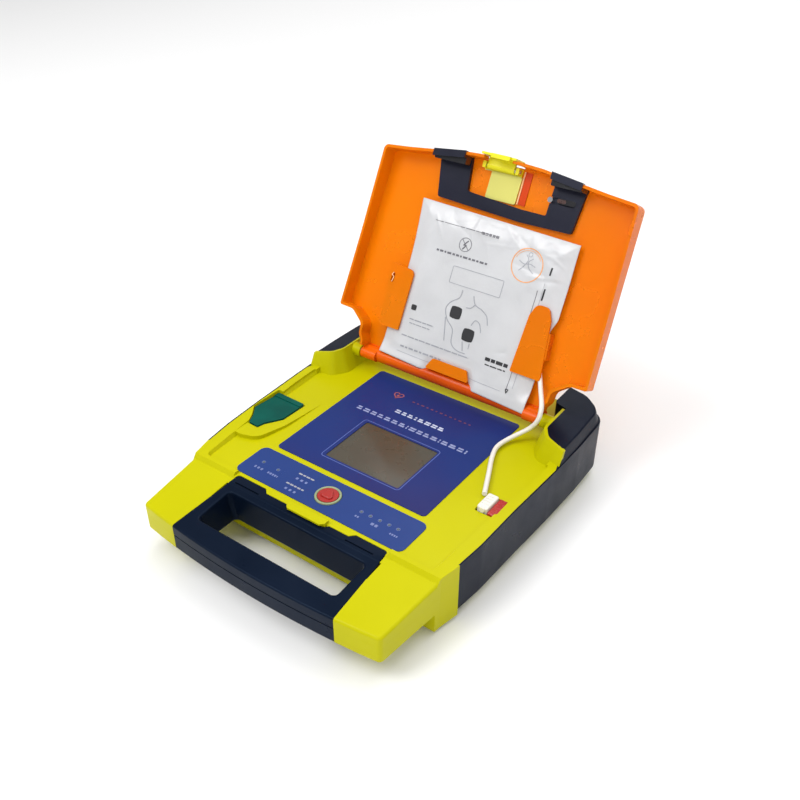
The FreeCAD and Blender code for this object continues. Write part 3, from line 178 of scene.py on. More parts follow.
# ---------------------------------------------------------------- materials
def material(name, color, rough=0.4, spread=0.05, spread_scale=18.0, bump=0.0, bump_scale=900.0, coat=0.0, coat_rough=0.1,
             sub=0.0, sub_color=None, metal=0.0, spec=0.5, transmission=0.0, ior=1.5, rough_spread=0.06, second=None, second_scale=5.0,
             sheen=0.0, tint=(1.0, 1.0, 1.0)):
    m = bpy.data.materials.new(name)
    m.use_nodes = True
    nt = m.node_tree
    b = nt.nodes["Principled BSDF"]
    tc = nt.nodes.new("ShaderNodeTexCoord")
    n1 = nt.nodes.new("ShaderNodeTexNoise")
    n1.inputs["Scale"].default_value = spread_scale
    n1.inputs["Detail"].default_value = 4.0
    nt.links.new(tc.outputs["Object"], n1.inputs["Vector"])
    ramp = nt.nodes.new("ShaderNodeValToRGB")
    ramp.color_ramp.elements[0].position = 0.3
    ramp.color_ramp.elements[1].position = 0.7
    lo = [max(0.0, c * (1 - spread)) for c in color[:3]]
    hi = [min(1.0, c * (1 + spread) + spread * 0.01) for c in color[:3]]
    ramp.color_ramp.elements[0].color = (*lo, 1)
    ramp.color_ramp.elements[1].color = (*hi, 1)
    nt.links.new(n1.outputs["Fac"], ramp.inputs[0])
    out = ramp.outputs[0]
    if second is not None:
        n3 = nt.nodes.new("ShaderNodeTexNoise")
        n3.inputs["Scale"].default_value = second_scale
        n3.inputs["Detail"].default_value = 2.0
        nt.links.new(tc.outputs["Object"], n3.inputs["Vector"])
        mx = nt.nodes.new("ShaderNodeMix")
        mx.data_type = "RGBA"
        r3 = nt.nodes.new("ShaderNodeValToRGB")
        r3.color_ramp.elements[0].position = 0.42
        r3.color_ramp.elements[1].position = 0.62
        nt.links.new(n3.outputs["Fac"], r3.inputs[0])
        nt.links.new(r3.outputs[0], mx.inputs[0])
        nt.links.new(out, mx.inputs[6])
        mx.inputs[7].default_value = (*second, 1)
        out = mx.outputs[2]
    nt.links.new(out, b.inputs["Base Color"])
    n2 = nt.nodes.new("ShaderNodeTexNoise")
    n2.inputs["Scale"].default_value = spread_scale * 3.1
    n2.inputs["Detail"].default_value = 6.0
    nt.links.new(tc.outputs["Object"], n2.inputs["Vector"])
    mr = nt.nodes.new("ShaderNodeMapRange")
    mr.inputs["From Min"].default_value = 0.3
    mr.inputs["From Max"].default_value = 0.7
    mr.inputs["To Min"].default_value = max(0.02, rough - rough_spread)
    mr.inputs["To Max"].default_value = min(1.0, rough + rough_spread)
    nt.links.new(n2.outputs["Fac"], mr.inputs["Value"])
    nt.links.new(mr.outputs[0], b.inputs["Roughness"])
    if bump > 0:
        nb = nt.nodes.new("ShaderNodeTexNoise")
        nb.inputs["Scale"].default_value = bump_scale
        nb.inputs["Detail"].default_value = 2.0
        nt.links.new(tc.outputs["Object"], nb.inputs["Vector"])
        bp = nt.nodes.new("ShaderNodeBump")
        bp.inputs["Strength"].default_value = bump
        bp.inputs["Distance"].default_value = 0.0003
        nt.links.new(nb.outputs["Fac"], bp.inputs["Height"])
        nt.links.new(bp.outputs[0], b.inputs["Normal"])
    b.inputs["Metallic"].default_value = metal
    b.inputs["Specular IOR Level"].default_value = spec
    b.inputs["IOR"].default_value = ior
    b.inputs["Coat Weight"].default_value = coat
    b.inputs["Coat Roughness"].default_value = coat_rough
    b.inputs["Transmission Weight"].default_value = transmission
    if sub > 0:
        b.inputs["Subsurface Weight"].default_value = sub
        b.inputs["Subsurface Radius"].default_value = (0.004, 0.003, 0.001)
    b.inputs["Sheen Weight"].default_value = sheen
    b.inputs["Specular Tint"].default_value = (*tint, 1)
    return m


M = {}
M["yellow"] = material("moulded_yellow", (0.505, 0.482, 0.0004), rough=0.36, spread=0.04, spread_scale=9.0, bump=0.10, bump_scale=2200.0, spec=0.10)
M["navy"] = material("bumper_navy", (0.0035, 0.0055, 0.0150), rough=0.34, spread=0.20, spread_scale=14.0, bump=0.10, bump_scale=1500.0, spec=0.10, rough_spread=0.07, tint=(0.62, 0.74, 1.0))
M["handle"] = material("handle_navy", (0.0022, 0.0060, 0.0170), rough=0.33, spread=0.18, spread_scale=16.0, bump=0.08, bump_scale=1900.0, spec=0.10, tint=(0.50, 0.72, 1.0))
M["orange"] = material("lid_amber", (0.98, 0.262, 0.0004), rough=0.25, spread=0.04, spread_scale=7.0, bump=0.04, bump_scale=1200.0, spec=0.14, transmission=0.34, sub=0.0, ior=1.36, rough_spread=0.05, second=(0.93, 0.215, 0.0003), second_scale=4.0)
M["trim"] = material("trim_navy", (0.0085, 0.0085, 0.0190), rough=0.33, spread=0.15, bump=0.08, bump_scale=1500.0, spec=0.26, tint=(0.8, 0.85, 1.0))
M["trim_gloss"] = material("trim_cap_gloss", (0.006, 0.006, 0.010), rough=0.14, spread=0.1, coat=0.6)
M["latch"] = material("latch_yellow", (0.80, 0.74, 0.010), rough=0.32, spread=0.04, bump=0.08, bump_scale=1800.0, spec=0.3)
M["pale"] = material("plate_pale_yellow", (0.66, 0.63, 0.15), rough=0.5, spread=0.05, bump=0.10, bump_scale=1300.0, spec=0.35)
M["blue"] = material("label_blue", (0.012, 0.030, 0.165), rough=0.36, spread=0.08, spread_scale=7.0, bump=0.05, bump_scale=2600.0, spec=0.14, second=(0.020, 0.022, 0.120), second_scale=6.0)
M["strip"] = material("strip_blue", (0.018, 0.045, 0.190), rough=0.38, spread=0.07, spread_scale=10.0, bump=0.05, bump_scale=2600.0, spec=0.16)
M["lcd"] = material("display_glass", (0.062, 0.052, 0.034), rough=0.30, spread=0.10, spread_scale=26.0, bump=0.02, coat=0.25, coat_rough=0.12, spec=0.4, second=(0.054, 0.053, 0.038), second_scale=22.0)
M["print_blue"] = material("print_light_blue", (0.095, 0.14, 0.40), rough=0.4, spread=0.05, spec=0.2)
M["print_white"] = material("print_white", (0.50, 0.55, 0.70), rough=0.42, spread=0.08, spread_scale=60.0, spec=0.2)
M["print_mid"] = material("print_pale_blue", (0.27, 0.31, 0.52), rough=0.42, spread=0.10, spread_scale=60.0, spec=0.2)
M["print_dim"] = material("print_grey_blue", (0.15, 0.19, 0.40), rough=0.42, spread=0.1, spread_scale=60.0)
M["print_red"] = material("print_dull_red", (0.14, 0.035, 0.075), rough=0.42, spread=0.2, spread_scale=80.0)
M["print_orange"] = material("print_orange", (0.80, 0.36, 0.14), rough=0.45, spread=0.1)
M["print_heart"] = material("print_dull_orange", (0.36, 0.10, 0.10), rough=0.45, spread=0.15, spec=0.2)
M["print_black"] = material("print_black", (0.018, 0.018, 0.022), rough=0.45, spread=0.1)
M["print_grey"] = material("print_grey", (0.14, 0.14, 0.16), rough=0.45, spread=0.1)
M["print_pale"] = material("print_pale_grey", (0.33, 0.34, 0.38), rough=0.45, spread=0.1)
M["foil"] = material("pouch_laminate", (0.585, 0.590, 0.610), rough=0.34, spread=0.05, spread_scale=25.0, bump=0.10, bump_scale=320.0, spec=0.5, coat=0.16, coat_rough=0.22)
M["green"] = material("port_green", (0.0, 0.082, 0.062), rough=0.40, spread=0.10, spread_scale=40.0, bump=0.14, bump_scale=1400.0, spec=0.1, second=(0.001, 0.066, 0.052), second_scale=30.0)
M["red"] = material("button_red", (0.36, 0.014, 0.010), rough=0.34, spread=0.06, spread_scale=60.0, bump=0.05, bump_scale=1500.0, sub=0.05)
M["bezel"] = material("bezel_grey_green", (0.27, 0.33, 0.18), rough=0.38, spread=0.12, spread_scale=90.0, bump=0.06)
M["socket"] = material("socket_red", (0.36, 0.006, 0.006), rough=0.26, spread=0.18, spread_scale=120.0, coat=0.3)
M["plug"] = material("plug_white", (0.78, 0.76, 0.70), rough=0.38, spread=0.03, spread_scale=60.0, bump=0.06, sub=0.05)
M["lead"] = material("lead_jacket", (0.80, 0.77, 0.71), rough=0.42, spread=0.03, spread_scale=70.0, bump=0.06, bump_scale=1100.0, sub=0.05)
M["black"] = material("black_plastic", (0.018, 0.018, 0.020), rough=0.45, spread=0.2, bump=0.1)
M["rubber"] = material("black_rubber", (0.020, 0.020, 0.020), rough=0.72, spread=0.2, bump=0.25, bump_scale=1000.0, spec=0.3)
M["steel"] = material("plated_steel", (0.62, 0.62, 0.64), rough=0.26, spread=0.06, metal=1.0, bump=0.03)
M["chrome"] = material("polished_metal", (0.80, 0.80, 0.82), rough=0.10, spread=0.03, metal=1.0)
M["board"] = material("solder_mask", (0.010, 0.10, 0.035), rough=0.34, spread=0.15, spread_scale=60.0, bump=0.15, bump_scale=700.0)
M["can"] = material("capacitor_sleeve", (0.03, 0.05, 0.16), rough=0.25, spread=0.1, coat=0.3)
M["pipe"] = material("light_pipe", (0.10, 0.13, 0.16), rough=0.25, spread=0.05, spec=0.3)
M["wire"] = material("wire_black", (0.02, 0.02, 0.022), rough=0.5, spread=0.1)
# Painted shade: a dark reddish-brown for the inside of the trim slot, where only shade is seen.
M["slot_painted_shade"] = material("slot_painted_shade", (0.050, 0.010, 0.006), rough=0.3, spread=0.3, spread_scale=200.0)
# Painted shade: a shaded copy of the lid amber for the strip between the latch plate and the trim.
M["amber_painted_shade"] = material("amber_painted_shade", (0.60, 0.050, 0.001), rough=0.3, spread=0.08, spec=0.2)
# Painted highlight: a lit copy of the lid amber for a pale edge line and the clip slot.
M["amber_painted_highlight"] = material("amber_painted_highlight", (0.90, 0.55, 0.28), rough=0.3, spread=0.05, spec=0.3)
# Painted shade: a darker copy of the lid amber, with darker blotches, for the rail and hinge barrels.
M["amber_rail_painted_shade"] = material("amber_rail_painted_shade", (0.86, 0.130, 0.0006), rough=0.25, spread=0.08, spec=0.2, second=(0.62, 0.070, 0.0006), second_scale=9.0)
# Painted shade: a darkened copy of the case yellow for the inside of a hole.
M["boss"] = material("case_hole_painted_shade", (0.30, 0.27, 0.002), rough=0.6, spread=0.2)

LOOK = {
    "upper_case": "yellow", "lower_case": "yellow", "carry_handle": "handle", "handle_screws": "steel", "bumper_left": "navy", "bumper_right": "navy",
    "case_seal": "rubber", "case_screws": "steel", "rubber_feet": "rubber", "label_panel": "blue", "control_strip": "strip", "display_window": "lcd",
    "display_module": "black", "button_bezel": "bezel", "button_switch": "black", "button_spring": "steel", "keypad_board": "board",
    "indicator_light_pipes": "pipe", "data_port": "black", "pads_socket": "socket", "pads_plug": "plug", "pads_lead": "lead", "main_board": "board",
    "board_screws": "steel", "hv_capacitor": "can", "capacitor_clamp": "steel", "charging_transformer": "black", "output_module": "black",
    "discharge_relay": "black", "battery_pack": "black", "battery_cover": "yellow", "speaker": "black", "reed_switch": "black",
    "battery_harness": "wire", "capacitor_harness": "wire", "speaker_harness": "wire", "lid_shell": "orange", "hinge_pin_left": "steel",
    "hinge_pin_right": "steel", "lid_trim": "trim", "lid_magnet": "chrome", "pouch_clip_left": "orange", "pouch_clip_right": "orange",
    "pouch_clip_bottom": "orange", "pads_pouch": "foil", "latch_bracket": "pale", "latch_pin": "steel", "latch_spring": "steel",
    "latch_lever": "latch", "shock_button": "red", "port_cover": "green",
}
BEVEL = {"upper_case": 0.5, "lower_case": 0.5, "carry_handle": 0.6, "bumper_left": 0.6, "bumper_right": 0.6, "lid_shell": 0.45, "lid_trim": 0.4,
         "latch_lever": 0.4, "pouch_clip_left": 0.35, "pouch_clip_right": 0.35, "pouch_clip_bottom": 0.35, "port_cover": 0.4, "pads_plug": 0.3,
         "pads_socket": 0.3, "label_panel": 0.15, "control_strip": 0.15, "shock_button": 0.25, "button_bezel": 0.2, "latch_bracket": 0.3, "battery_cover": 0.3}


def finish_node(name, o):
    me = o.data
    me.materials.clear()
    me.materials.append(M[LOOK[name]])
    for p in me.polygons:
        p.material_index = 0
        p.use_smooth = True
    for key in ("custom_normal", "sharp_face", "sharp_edge"):
        a = me.attributes.get(key)
        if a is not None:
            me.attributes.remove(a)
    w = o.modifiers.new("weld", "WELD")
    w.merge_threshold = 2e-6
    if name in BEVEL:
        b = o.modifiers.new("edge", "BEVEL")
        b.width = BEVEL[name] / 1000.0
        b.segments = 2
        b.limit_method = "ANGLE"
        b.angle_limit = math.radians(38)
        b.use_clamp_overlap = True
        b.harden_normals = False
        n = o.modifiers.new("normals", "WEIGHTED_NORMAL")
        n.mode = "FACE_AREA"
        n.weight = 60
        n.keep_sharp = True
    else:
        e = o.modifiers.new("split", "EDGE_SPLIT")
        e.split_angle = math.radians(32)


for name, o in NODES.items():
    finish_node(name, o)


def repaint(name, mat, test):
    """Gives the faces of a node whose centre passes a test another material."""
    me = NODES[name].data
    me.materials.append(mat)
    k = len(me.materials) - 1
    for p in me.polygons:
        if test(p.center):
            p.material_index = k


def closed_lid(c):
    """A point of the open lid back in the closed lid's millimetres."""
    dy, dz = c.y * 1000.0 + OY - HY, c.z * 1000.0 - HZ
    return c.x * 1000.0, HY + dy * CO - dz * SO, HZ + dy * SO + dz * CO


# The rail and hinge barrel faces of the lid get painted shade: a darker amber than the rest of the lid.
repaint("lid_shell", M["amber_rail_painted_shade"], lambda c: math.hypot(closed_lid(c)[1] - 255.0, closed_lid(c)[2] - 69.9) < 7.4 or math.hypot(closed_lid(c)[1] - 256.4, closed_lid(c)[2] - 66.7) < 6.2 and abs(c.x) > 0.077)
repaint("latch_bracket", M["latch"], lambda c: closed_lid(c)[1] < 68.9)
repaint("lid_trim", M["trim_gloss"], lambda c: closed_lid(c)[2] < 67.1 and closed_lid(c)[2] > 57.0 or 53.2 < closed_lid(c)[2] < 57.0 and closed_lid(c)[1] > 62.0)


# ---------------------------------------------------------------- mesh helpers
def mesh_object(name, verts, faces, mat, body, smooth=False):
    me = bpy.data.meshes.new(name)
    me.from_pydata([tuple(v) for v in verts], [], faces)
    me.materials.append(mat)
    me.validate()
    me.update()
    if smooth:
        for p in me.polygons:
            p.use_smooth = True
    o = bpy.data.objects.new(name, me)
    SCENE.collection.objects.link(o)
    if body:
        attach(o, body)
    return o


def slab(outline, lift, place):
    """Closed thin solid: outline of (x, y) points, between heights lift[0] and lift[1], through place(x, y, h)."""
    n = len(outline)
    v = [place(x, y, lift[0]) for x, y in outline] + [place(x, y, lift[1]) for x, y in outline]
    f = [tuple(range(n - 1, -1, -1)), tuple(range(n, 2 * n))]
    f += [(i, (i + 1) % n, n + (i + 1) % n, n + i) for i in range(n)]
    return v, f


def ribbon(path, width, lift, place, closed=False):
    """Closed thin ribbon of a width along a path of (x, y) points."""
    n = len(path)
    left, right = [], []
    for i in range(n):
        a = path[(i - 1) % n] if closed or i > 0 else path[i]
        b = path[(i + 1) % n] if closed or i < n - 1 else path[i]
        dx, dy = b[0] - a[0], b[1] - a[1]
        d = math.hypot(dx, dy) or 1.0
        nx, ny = -dy / d * width / 2, dx / d * width / 2
        left.append((path[i][0] + nx, path[i][1] + ny))
        right.append((path[i][0] - nx, path[i][1] - ny))
    v, f = [], []
    for i in range(n):
        v += [place(*left[i], lift[0]), place(*right[i], lift[0]), place(*right[i], lift[1]), place(*left[i], lift[1])]
    m = n if closed else n - 1
    for i in range(m):
        a, b = 4 * i, 4 * ((i + 1) % n)
        for k in range(4):
            f.append((a + k, b + k, b + (k + 1) % 4, a + (k + 1) % 4))
    if not closed:
        f.append((0, 1, 2, 3))
        e = 4 * (n - 1)
        f.append((e + 3, e + 2, e + 1, e))
    return v, f


class Batch:
    def __init__(self):
        self.v, self.f = [], []

    def add(self, part):
        k = len(self.v)
        self.v += part[0]
        self.f += [tuple(i + k for i in f) for f in part[1]]

    def make(self, name, mat, body):
        o = mesh_object(name, self.v, self.f, mat, body)
        bm = bmesh.new()
        bm.from_mesh(o.data)
        bmesh.ops.recalc_face_normals(bm, faces=bm.faces)
        bm.to_mesh(o.data)
        bm.free()
        return o


def rrect(x0, y0, x1, y1, r, n=4):
    pts = []
    for cx, cy, a0 in ((x1 - r, y0 + r, -90), (x1 - r, y1 - r, 0), (x0 + r, y1 - r, 90), (x0 + r, y0 + r, 180)):
        for k in range(n + 1):
            a = math.radians(a0 + 90.0 * k / n)
            pts.append((cx + r * math.cos(a), cy + r * math.sin(a)))
    return pts


def circle(cx, cy, r, n=32):
    return [(cx + r * math.cos(2 * math.pi * k / n), cy + r * math.sin(2 * math.pi * k / n)) for k in range(n)]


def arc(cx, cy, rx, ry, a0, a1, n=16):
    return [(cx + rx * math.cos(math.radians(a0 + (a1 - a0) * k / n)), cy + ry * math.sin(math.radians(a0 + (a1 - a0) * k / n))) for k in range(n + 1)]


def smooth_path(pts, n=8):
    """Catmull-Rom through the points."""
    out = []
    for i in range(len(pts) - 1):
        p0, p1, p2, p3 = pts[max(i - 1, 0)], pts[i], pts[i + 1], pts[min(i + 2, len(pts) - 1)]
        for k in range(n):
            t = k / n
            out.append(tuple(0.5 * (2 * p1[j] + (p2[j] - p0[j]) * t + (2 * p0[j] - 5 * p1[j] + 4 * p2[j] - p3[j]) * t * t + (3 * p1[j] - p0[j] - 3 * p2[j] + p3[j]) * t ** 3) for j in (0, 1)))
    out.append(pts[-1])
    return out


# ---------------------------------------------------------------- prints on the deck
TOP = 51.6


def deck(x, y, h):
    return C(x, y, TOP + h)


PRINT = (-0.02, 0.07)


def dashes(batch, x0, x1, y, height, widths, gap, rnd, place=deck, lift=PRINT, split=0.0):
    """A row of plain rounded bars that stands where a row of small print is."""
    x = x0
    k = 0
    while x < x1 - 0.3:
        w = widths[k % len(widths)] * rnd.uniform(0.9, 1.1)
        w = min(w, x1 - x)
        if split and w > 1.2:
            hh = height * rnd.uniform(0.36, 0.44)
            batch.add(slab(rrect(x, y - height / 2, x + w, y - height / 2 + hh, min(0.25, hh / 2.2, w / 2.2), 2), lift, place))
            batch.add(slab(rrect(x, y + height / 2 - hh, x + w * rnd.uniform(0.7, 1.0), y + height / 2, min(0.25, hh / 2.2, w / 2.6), 2), lift, place))
        else:
            batch.add(slab(rrect(x, y - height / 2, x + w, y + height / 2, min(0.35, height / 2.2, w / 2.2), 2), lift, place))
        x += w + gap
        k += 1


rnd = random.Random(7)
b = Batch()
b.add(ribbon(rrect(-38.4, 126.0, 40.5, 187.0, 3.0, 6), 0.65, PRINT, deck, True))
b.make("print_display_frame", M["print_blue"], "case")

b = Batch()
dashes(b, -25.0, 26.0, 213.0, 4.4, (5.6, 4.8, 5.8, 2.4, 5.2, 5.6, 5.2), 1.7, rnd, split=1.0)
b.make("print_title_row", M["print_white"], "case")
b = Batch()
dashes(b, -56.0, 58.0, 198.4, 4.6, (5.6, 5.8, 5.4, 5.8, 5.6, 5.8, 5.4, 1.2, 5.8, 5.6, 5.6, 5.8, 1.2), 1.9, rnd, split=1.0)
b.make("print_subtitle_row", M["print_mid"], "case")
b = Batch()
dashes(b, -21.0, 40.0, 232.6, 1.6, (2.6, 1.8, 3.0, 2.2), 2.6, rnd)
b.make("print_faint_row", M["print_red"], "case")


def heart(cx, cy, s, n=40):
    pts = []
    for k in range(n):
        t = 2 * math.pi * k / n
        x = 16 * math.sin(t) ** 3
        y = 13 * math.cos(t) - 5 * math.cos(2 * t) - 2 * math.cos(3 * t) - math.cos(4 * t)
        pts.append((cx + x * s / 16, cy + y * s / 16))
    return pts


b = Batch()
b.add(ribbon(heart(-37.0, 233.4, 4.6), 1.0, PRINT, deck, True))
b.add(slab([(-36.2, 236.4), (-39.2, 232.4), (-37.2, 232.6), (-38.0, 229.4), (-34.8, 233.8), (-36.8, 233.6)], PRINT, deck))
b.make("print_heart_bolt", M["print_heart"], "case")

b = Batch()
for x, y in ((-68.8, 91.2), (-52.5, 90.4), (32.8, 90.0), (41.3, 90.1), (50.0, 90.3), (58.5, 90.5), (66.7, 90.6)):
    b.add(ribbon(circle(x, y, 1.45, 20), 0.30, PRINT, deck, True))
dashes(b, -71.5, -62.6, 83.4, 2.4, (1.9, 2.0), 1.5, rnd)
dashes(b, -57.5, -47.0, 83.4, 2.2, (1.5, 1.7, 1.4, 1.6), 0.8, rnd)
dashes(b, -34.0, -22.6, 91.2, 2.2, (2.3, 2.2), 2.4, rnd)
dashes(b, -33.5, -22.0, 77.2, 2.2, (2.2, 2.3), 2.3, rnd)
dashes(b, 31.2, 35.4, 83.9, 1.8, (1.5, 1.5), 0.7, rnd)
dashes(b, 46.4, 52.6, 83.9, 2.6, (2.6, 2.6), 0.9, rnd)
dashes(b, 64.0, 71.0, 83.4, 1.8, (1.3, 1.4, 1.3), 0.7, rnd)
b.make("print_indicator_marks", M["print_dim"], "case")
b = Batch()
dashes(b, -36.0, -19.6, 97.2, 1.5, (3.4, 2.6, 3.6), 0.7, rnd)
dashes(b, -36.8, -19.0, 82.8, 1.5, (3.2, 3.6, 2.4), 0.7, rnd)
b.make("print_key_marks", M["print_pale"], "case")

# ---------------------------------------------------------------- pads pouch
def step(a, b, x):
    t = min(1.0, max(0.0, (x - a) / (b - a)))
    return t * t * (3 - 2 * t)


def bottom_edge(x):
    line = 249.6 + (x + 75.0) * (7.4 / 153.0)
    t = max(0.0, 1.0 - max(0.0, abs(x + 1.5) - 20.0) / 6.0)
    t = t * t * (3 - 2 * t)
    return line * (1 - t) + 247.4 * t


def top_edge(x):
    return 106.0 + (x + 74.6) * (4.4 / 156.6)


def left_edge(y):
    return -74.6 + 3.6 * math.sin(math.pi * min(1.0, max(0.0, (y - 108.0) / 112.0))) - 1.0 * step(205.0, 240.0, y)


def right_edge(y):
    return 82.0 + 0.6 * step(112.0, 150.0, y) - 3.9 * step(172.0, 186.0, y) - 0.6 * step(215.0, 250.0, y)


rc = random.Random(21)
CREASES = []
for k in range(74):
    side_pick = rc.random()
    if side_pick < 0.52:
        u, v = rc.uniform(-74, 76), rc.uniform(107, 132)
    elif side_pick < 0.86:
        u, v = rc.uniform(44, 77), rc.uniform(112, 240)
    else:
        u, v = rc.uniform(-74, 70), rc.uniform(150, 246)
    a = rc.uniform(0, math.pi)
    ln = rc.uniform(9, 34)
    CREASES.append((u, v, math.cos(a), math.sin(a), ln, rc.uniform(0.9, 2.6), rc.uniform(-0.75, 0.75) * (1.25 if side_pick < 0.86 else 0.35)))


def margin(x, y):
    return min(x - left_edge(y), right_edge(y) - x, (y - top_edge(x)) * 1.0, bottom_edge(x) - y)


def clip_mask(x, y):
    """1 where a clip lies over the pouch, and the pouch is pressed flat."""
    m = 0.0
    for cx, cy, rx, ry in ((-70.0, 198.0, 17.0, 34.0), (70.0, 196.0, 19.0, 36.0), (-2.0, 245.0, 26.0, 11.0)):
        d = math.hypot(max(0.0, abs(x - cx) - rx), max(0.0, abs(y - cy) - ry))
        m = max(m, 1.0 - step(0.0, 7.0, d))
    return m


def wrinkle(x, y):
    w = 0.0
    for u, v, ca, sa, ln, wd, am in CREASES:
        dx, dy = x - u, y - v
        along = dx * ca + dy * sa
        if abs(along) > ln:
            continue
        off = -dx * sa + dy * ca
        if abs(off) > 4 * wd:
            continue
        fade = (1 - (along / ln) ** 2) ** 2
        w += am * fade * math.exp(-abs(off) / wd)
    w += 0.50 * noise.noise(Vector((x * 0.035, y * 0.035, 3.1)))
    w += 0.30 * noise.noise(Vector((x * 0.10, y * 0.085, 9.4))) * (0.45 + 1.6 * step(140, 112, y) + 1.2 * step(34, 60, x))
    return w


def pouch_front(x, y):
    """Closed height of the pouch's front face: lower is nearer the viewer."""
    g = step(0.0, 16.0, margin(x, y))
    hang = step(236.0, 251.0, y) * step(22.0, 30.0, abs(x + 1.5))
    base = 65.6 - 2.3 * g
    puff = wrinkle(x, y) * (0.35 + 0.65 * g)
    m = clip_mask(x, y)
    z = base + puff * (1 - 0.85 * m)
    z = max(z, 61.9 + 1.7 * m + 0.2)
    z = z * (1 - m) + max(z, 63.75) * m
    z = z * (1 - hang) + (62.3 + 0.25 * puff) * hang
    return z


NX, NY = 132, 126
v, f = [], []
rows = []
front, backv = [], []
for j in range(NY + 1):
    for i in range(NX + 1):
        s, t = i / NX, j / NY
        x = -74.6 + s * 156.0
        for _ in range(3):
            y = top_edge(x) + (bottom_edge(x) - top_edge(x)) * t
            x = left_edge(y) + (right_edge(y) - left_edge(y)) * s
        z = pouch_front(x, y)
        g = step(0.0, 14.0, margin(x, y)) * (1 - step(238.0, 249.0, y))
        front.append(L(x, y, z))
        backv.append(L(x, y, max(z + 0.35, min(69.6, z + 0.35 + 3.4 * g))))
v = front + backv
K = (NX + 1) * (NY + 1)
for j in range(NY):
    for i in range(NX):
        a = j * (NX + 1) + i
        f.append((a, a + 1, a + NX + 2, a + NX + 1))
        f.append((K + a, K + a + NX + 1, K + a + NX + 2, K + a + 1))
rim = [i for i in range(NX + 1)] + [j * (NX + 1) + NX for j in range(1, NY + 1)] + [NY * (NX + 1) + i for i in range(NX - 1, -1, -1)] + [j * (NX + 1) for j in range(NY - 1, 0, -1)]
for k in range(len(rim)):
    a, c = rim[k], rim[(k + 1) % len(rim)]
    f.append((a, K + a, K + c, c))
pouch = mesh_object("pads_pouch_laminate", v, f, M["foil"], None, True)
bm = bmesh.new()
bm.from_mesh(pouch.data)
bmesh.ops.recalc_face_normals(bm, faces=bm.faces)
bm.to_mesh(pouch.data)
bm.free()
for p in pouch.data.polygons:
    p.use_smooth = True
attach(pouch, "lid")
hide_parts("pads_pouch")


def on_pouch(x, y, h):
    return L(x, y, pouch_front(x, y) - 0.16 - h)


def fine(path, closed=False, d=1.2):
    """Subdivides a path so that it follows the wrinkles."""
    out = []
    n = len(path)
    for i in range(n if closed else n - 1):
        a, c = path[i], path[(i + 1) % n]
        m = max(1, int(math.hypot(c[0] - a[0], c[1] - a[1]) / d))
        out += [(a[0] + (c[0] - a[0]) * k / m, a[1] + (c[1] - a[1]) * k / m) for k in range(m)]
    if not closed:
        out.append(path[-1])
    return out


PP = (-0.10, 0.05)


def strokes(batch, path, width, closed=False):
    batch.add(ribbon(fine(path, closed), width, PP, on_pouch, closed))


def patch(batch, x0, y0, x1, y1, r, n=9):
    """A filled rounded patch that follows the pouch, as a small grid."""
    vv, ff = [], []
    for side_lift in PP:
        for j in range(n + 1):
            for i in range(n + 1):
                u, w = i / n * 2 - 1, j / n * 2 - 1
                k = 1.0 - r * (u * u * w * w)
                vv.append(on_pouch((x0 + x1) / 2 + u * k * (x1 - x0) / 2, (y0 + y1) / 2 + w * k * (y1 - y0) / 2, side_lift))
    q = (n + 1) * (n + 1)
    for j in range(n):
        for i in range(n):
            a = j * (n + 1) + i
            ff.append((a, a + 1, a + n + 2, a + n + 1))
            ff.append((q + a, q + a + n + 1, q + a + n + 2, q + a + 1))
    edge = [i for i in range(n + 1)] + [j * (n + 1) + n for j in range(1, n + 1)] + [n * (n + 1) + i for i in range(n - 1, -1, -1)] + [j * (n + 1) for j in range(n - 1, 0, -1)]
    for k in range(len(edge)):
        a, c = edge[k], edge[(k + 1) % len(edge)]
        ff.append((a, q + a, q + c, c))
    batch.add((vv, ff))


def pouch_dashes(batch, x0, x1, y, height, widths, gap, rnd):
    x, k = x0, 0
    while x < x1 - 0.3:
        w = min(widths[k % len(widths)] * rnd.uniform(0.85, 1.15), x1 - x)
        strokes(batch, [(x, y), (x + w, y)], height)
        x += w + gap
        k += 1


rp = random.Random(3)
b = Batch()
TORSO = [
    smooth_path([(-9.4, 173.6), (-10.4, 180.6), (-18.0, 187.0), (-20.6, 193.6), (-16.6, 202.0), (-8.6, 209.1), (-6.2, 220.4), (0.5, 225.2), (9.6, 225.8)]),
    smooth_path([(-18.6, 200.6), (-16.4, 210.0), (-13.8, 220.8)]),
    smooth_path([(2.6, 175.6), (6.1, 182.3), (13.3, 184.9), (19.6, 188.8), (22.9, 196.0)]),
    smooth_path([(-1.6, 187.2), (3.0, 186.2), (6.1, 182.5)]),
    smooth_path([(7.9, 200.6), (10.4, 195.4), (14.8, 196.6), (17.2, 200.4), (18.6, 204.0)]),
    smooth_path([(3.9, 216.2), (6.4, 224.0)]),
    smooth_path([(11.2, 215.8), (11.4, 221.0)]),
]
for t in TORSO:
    strokes(b, t, 0.75)
b.make("print_torso_outline", M["print_pale"], "lid")

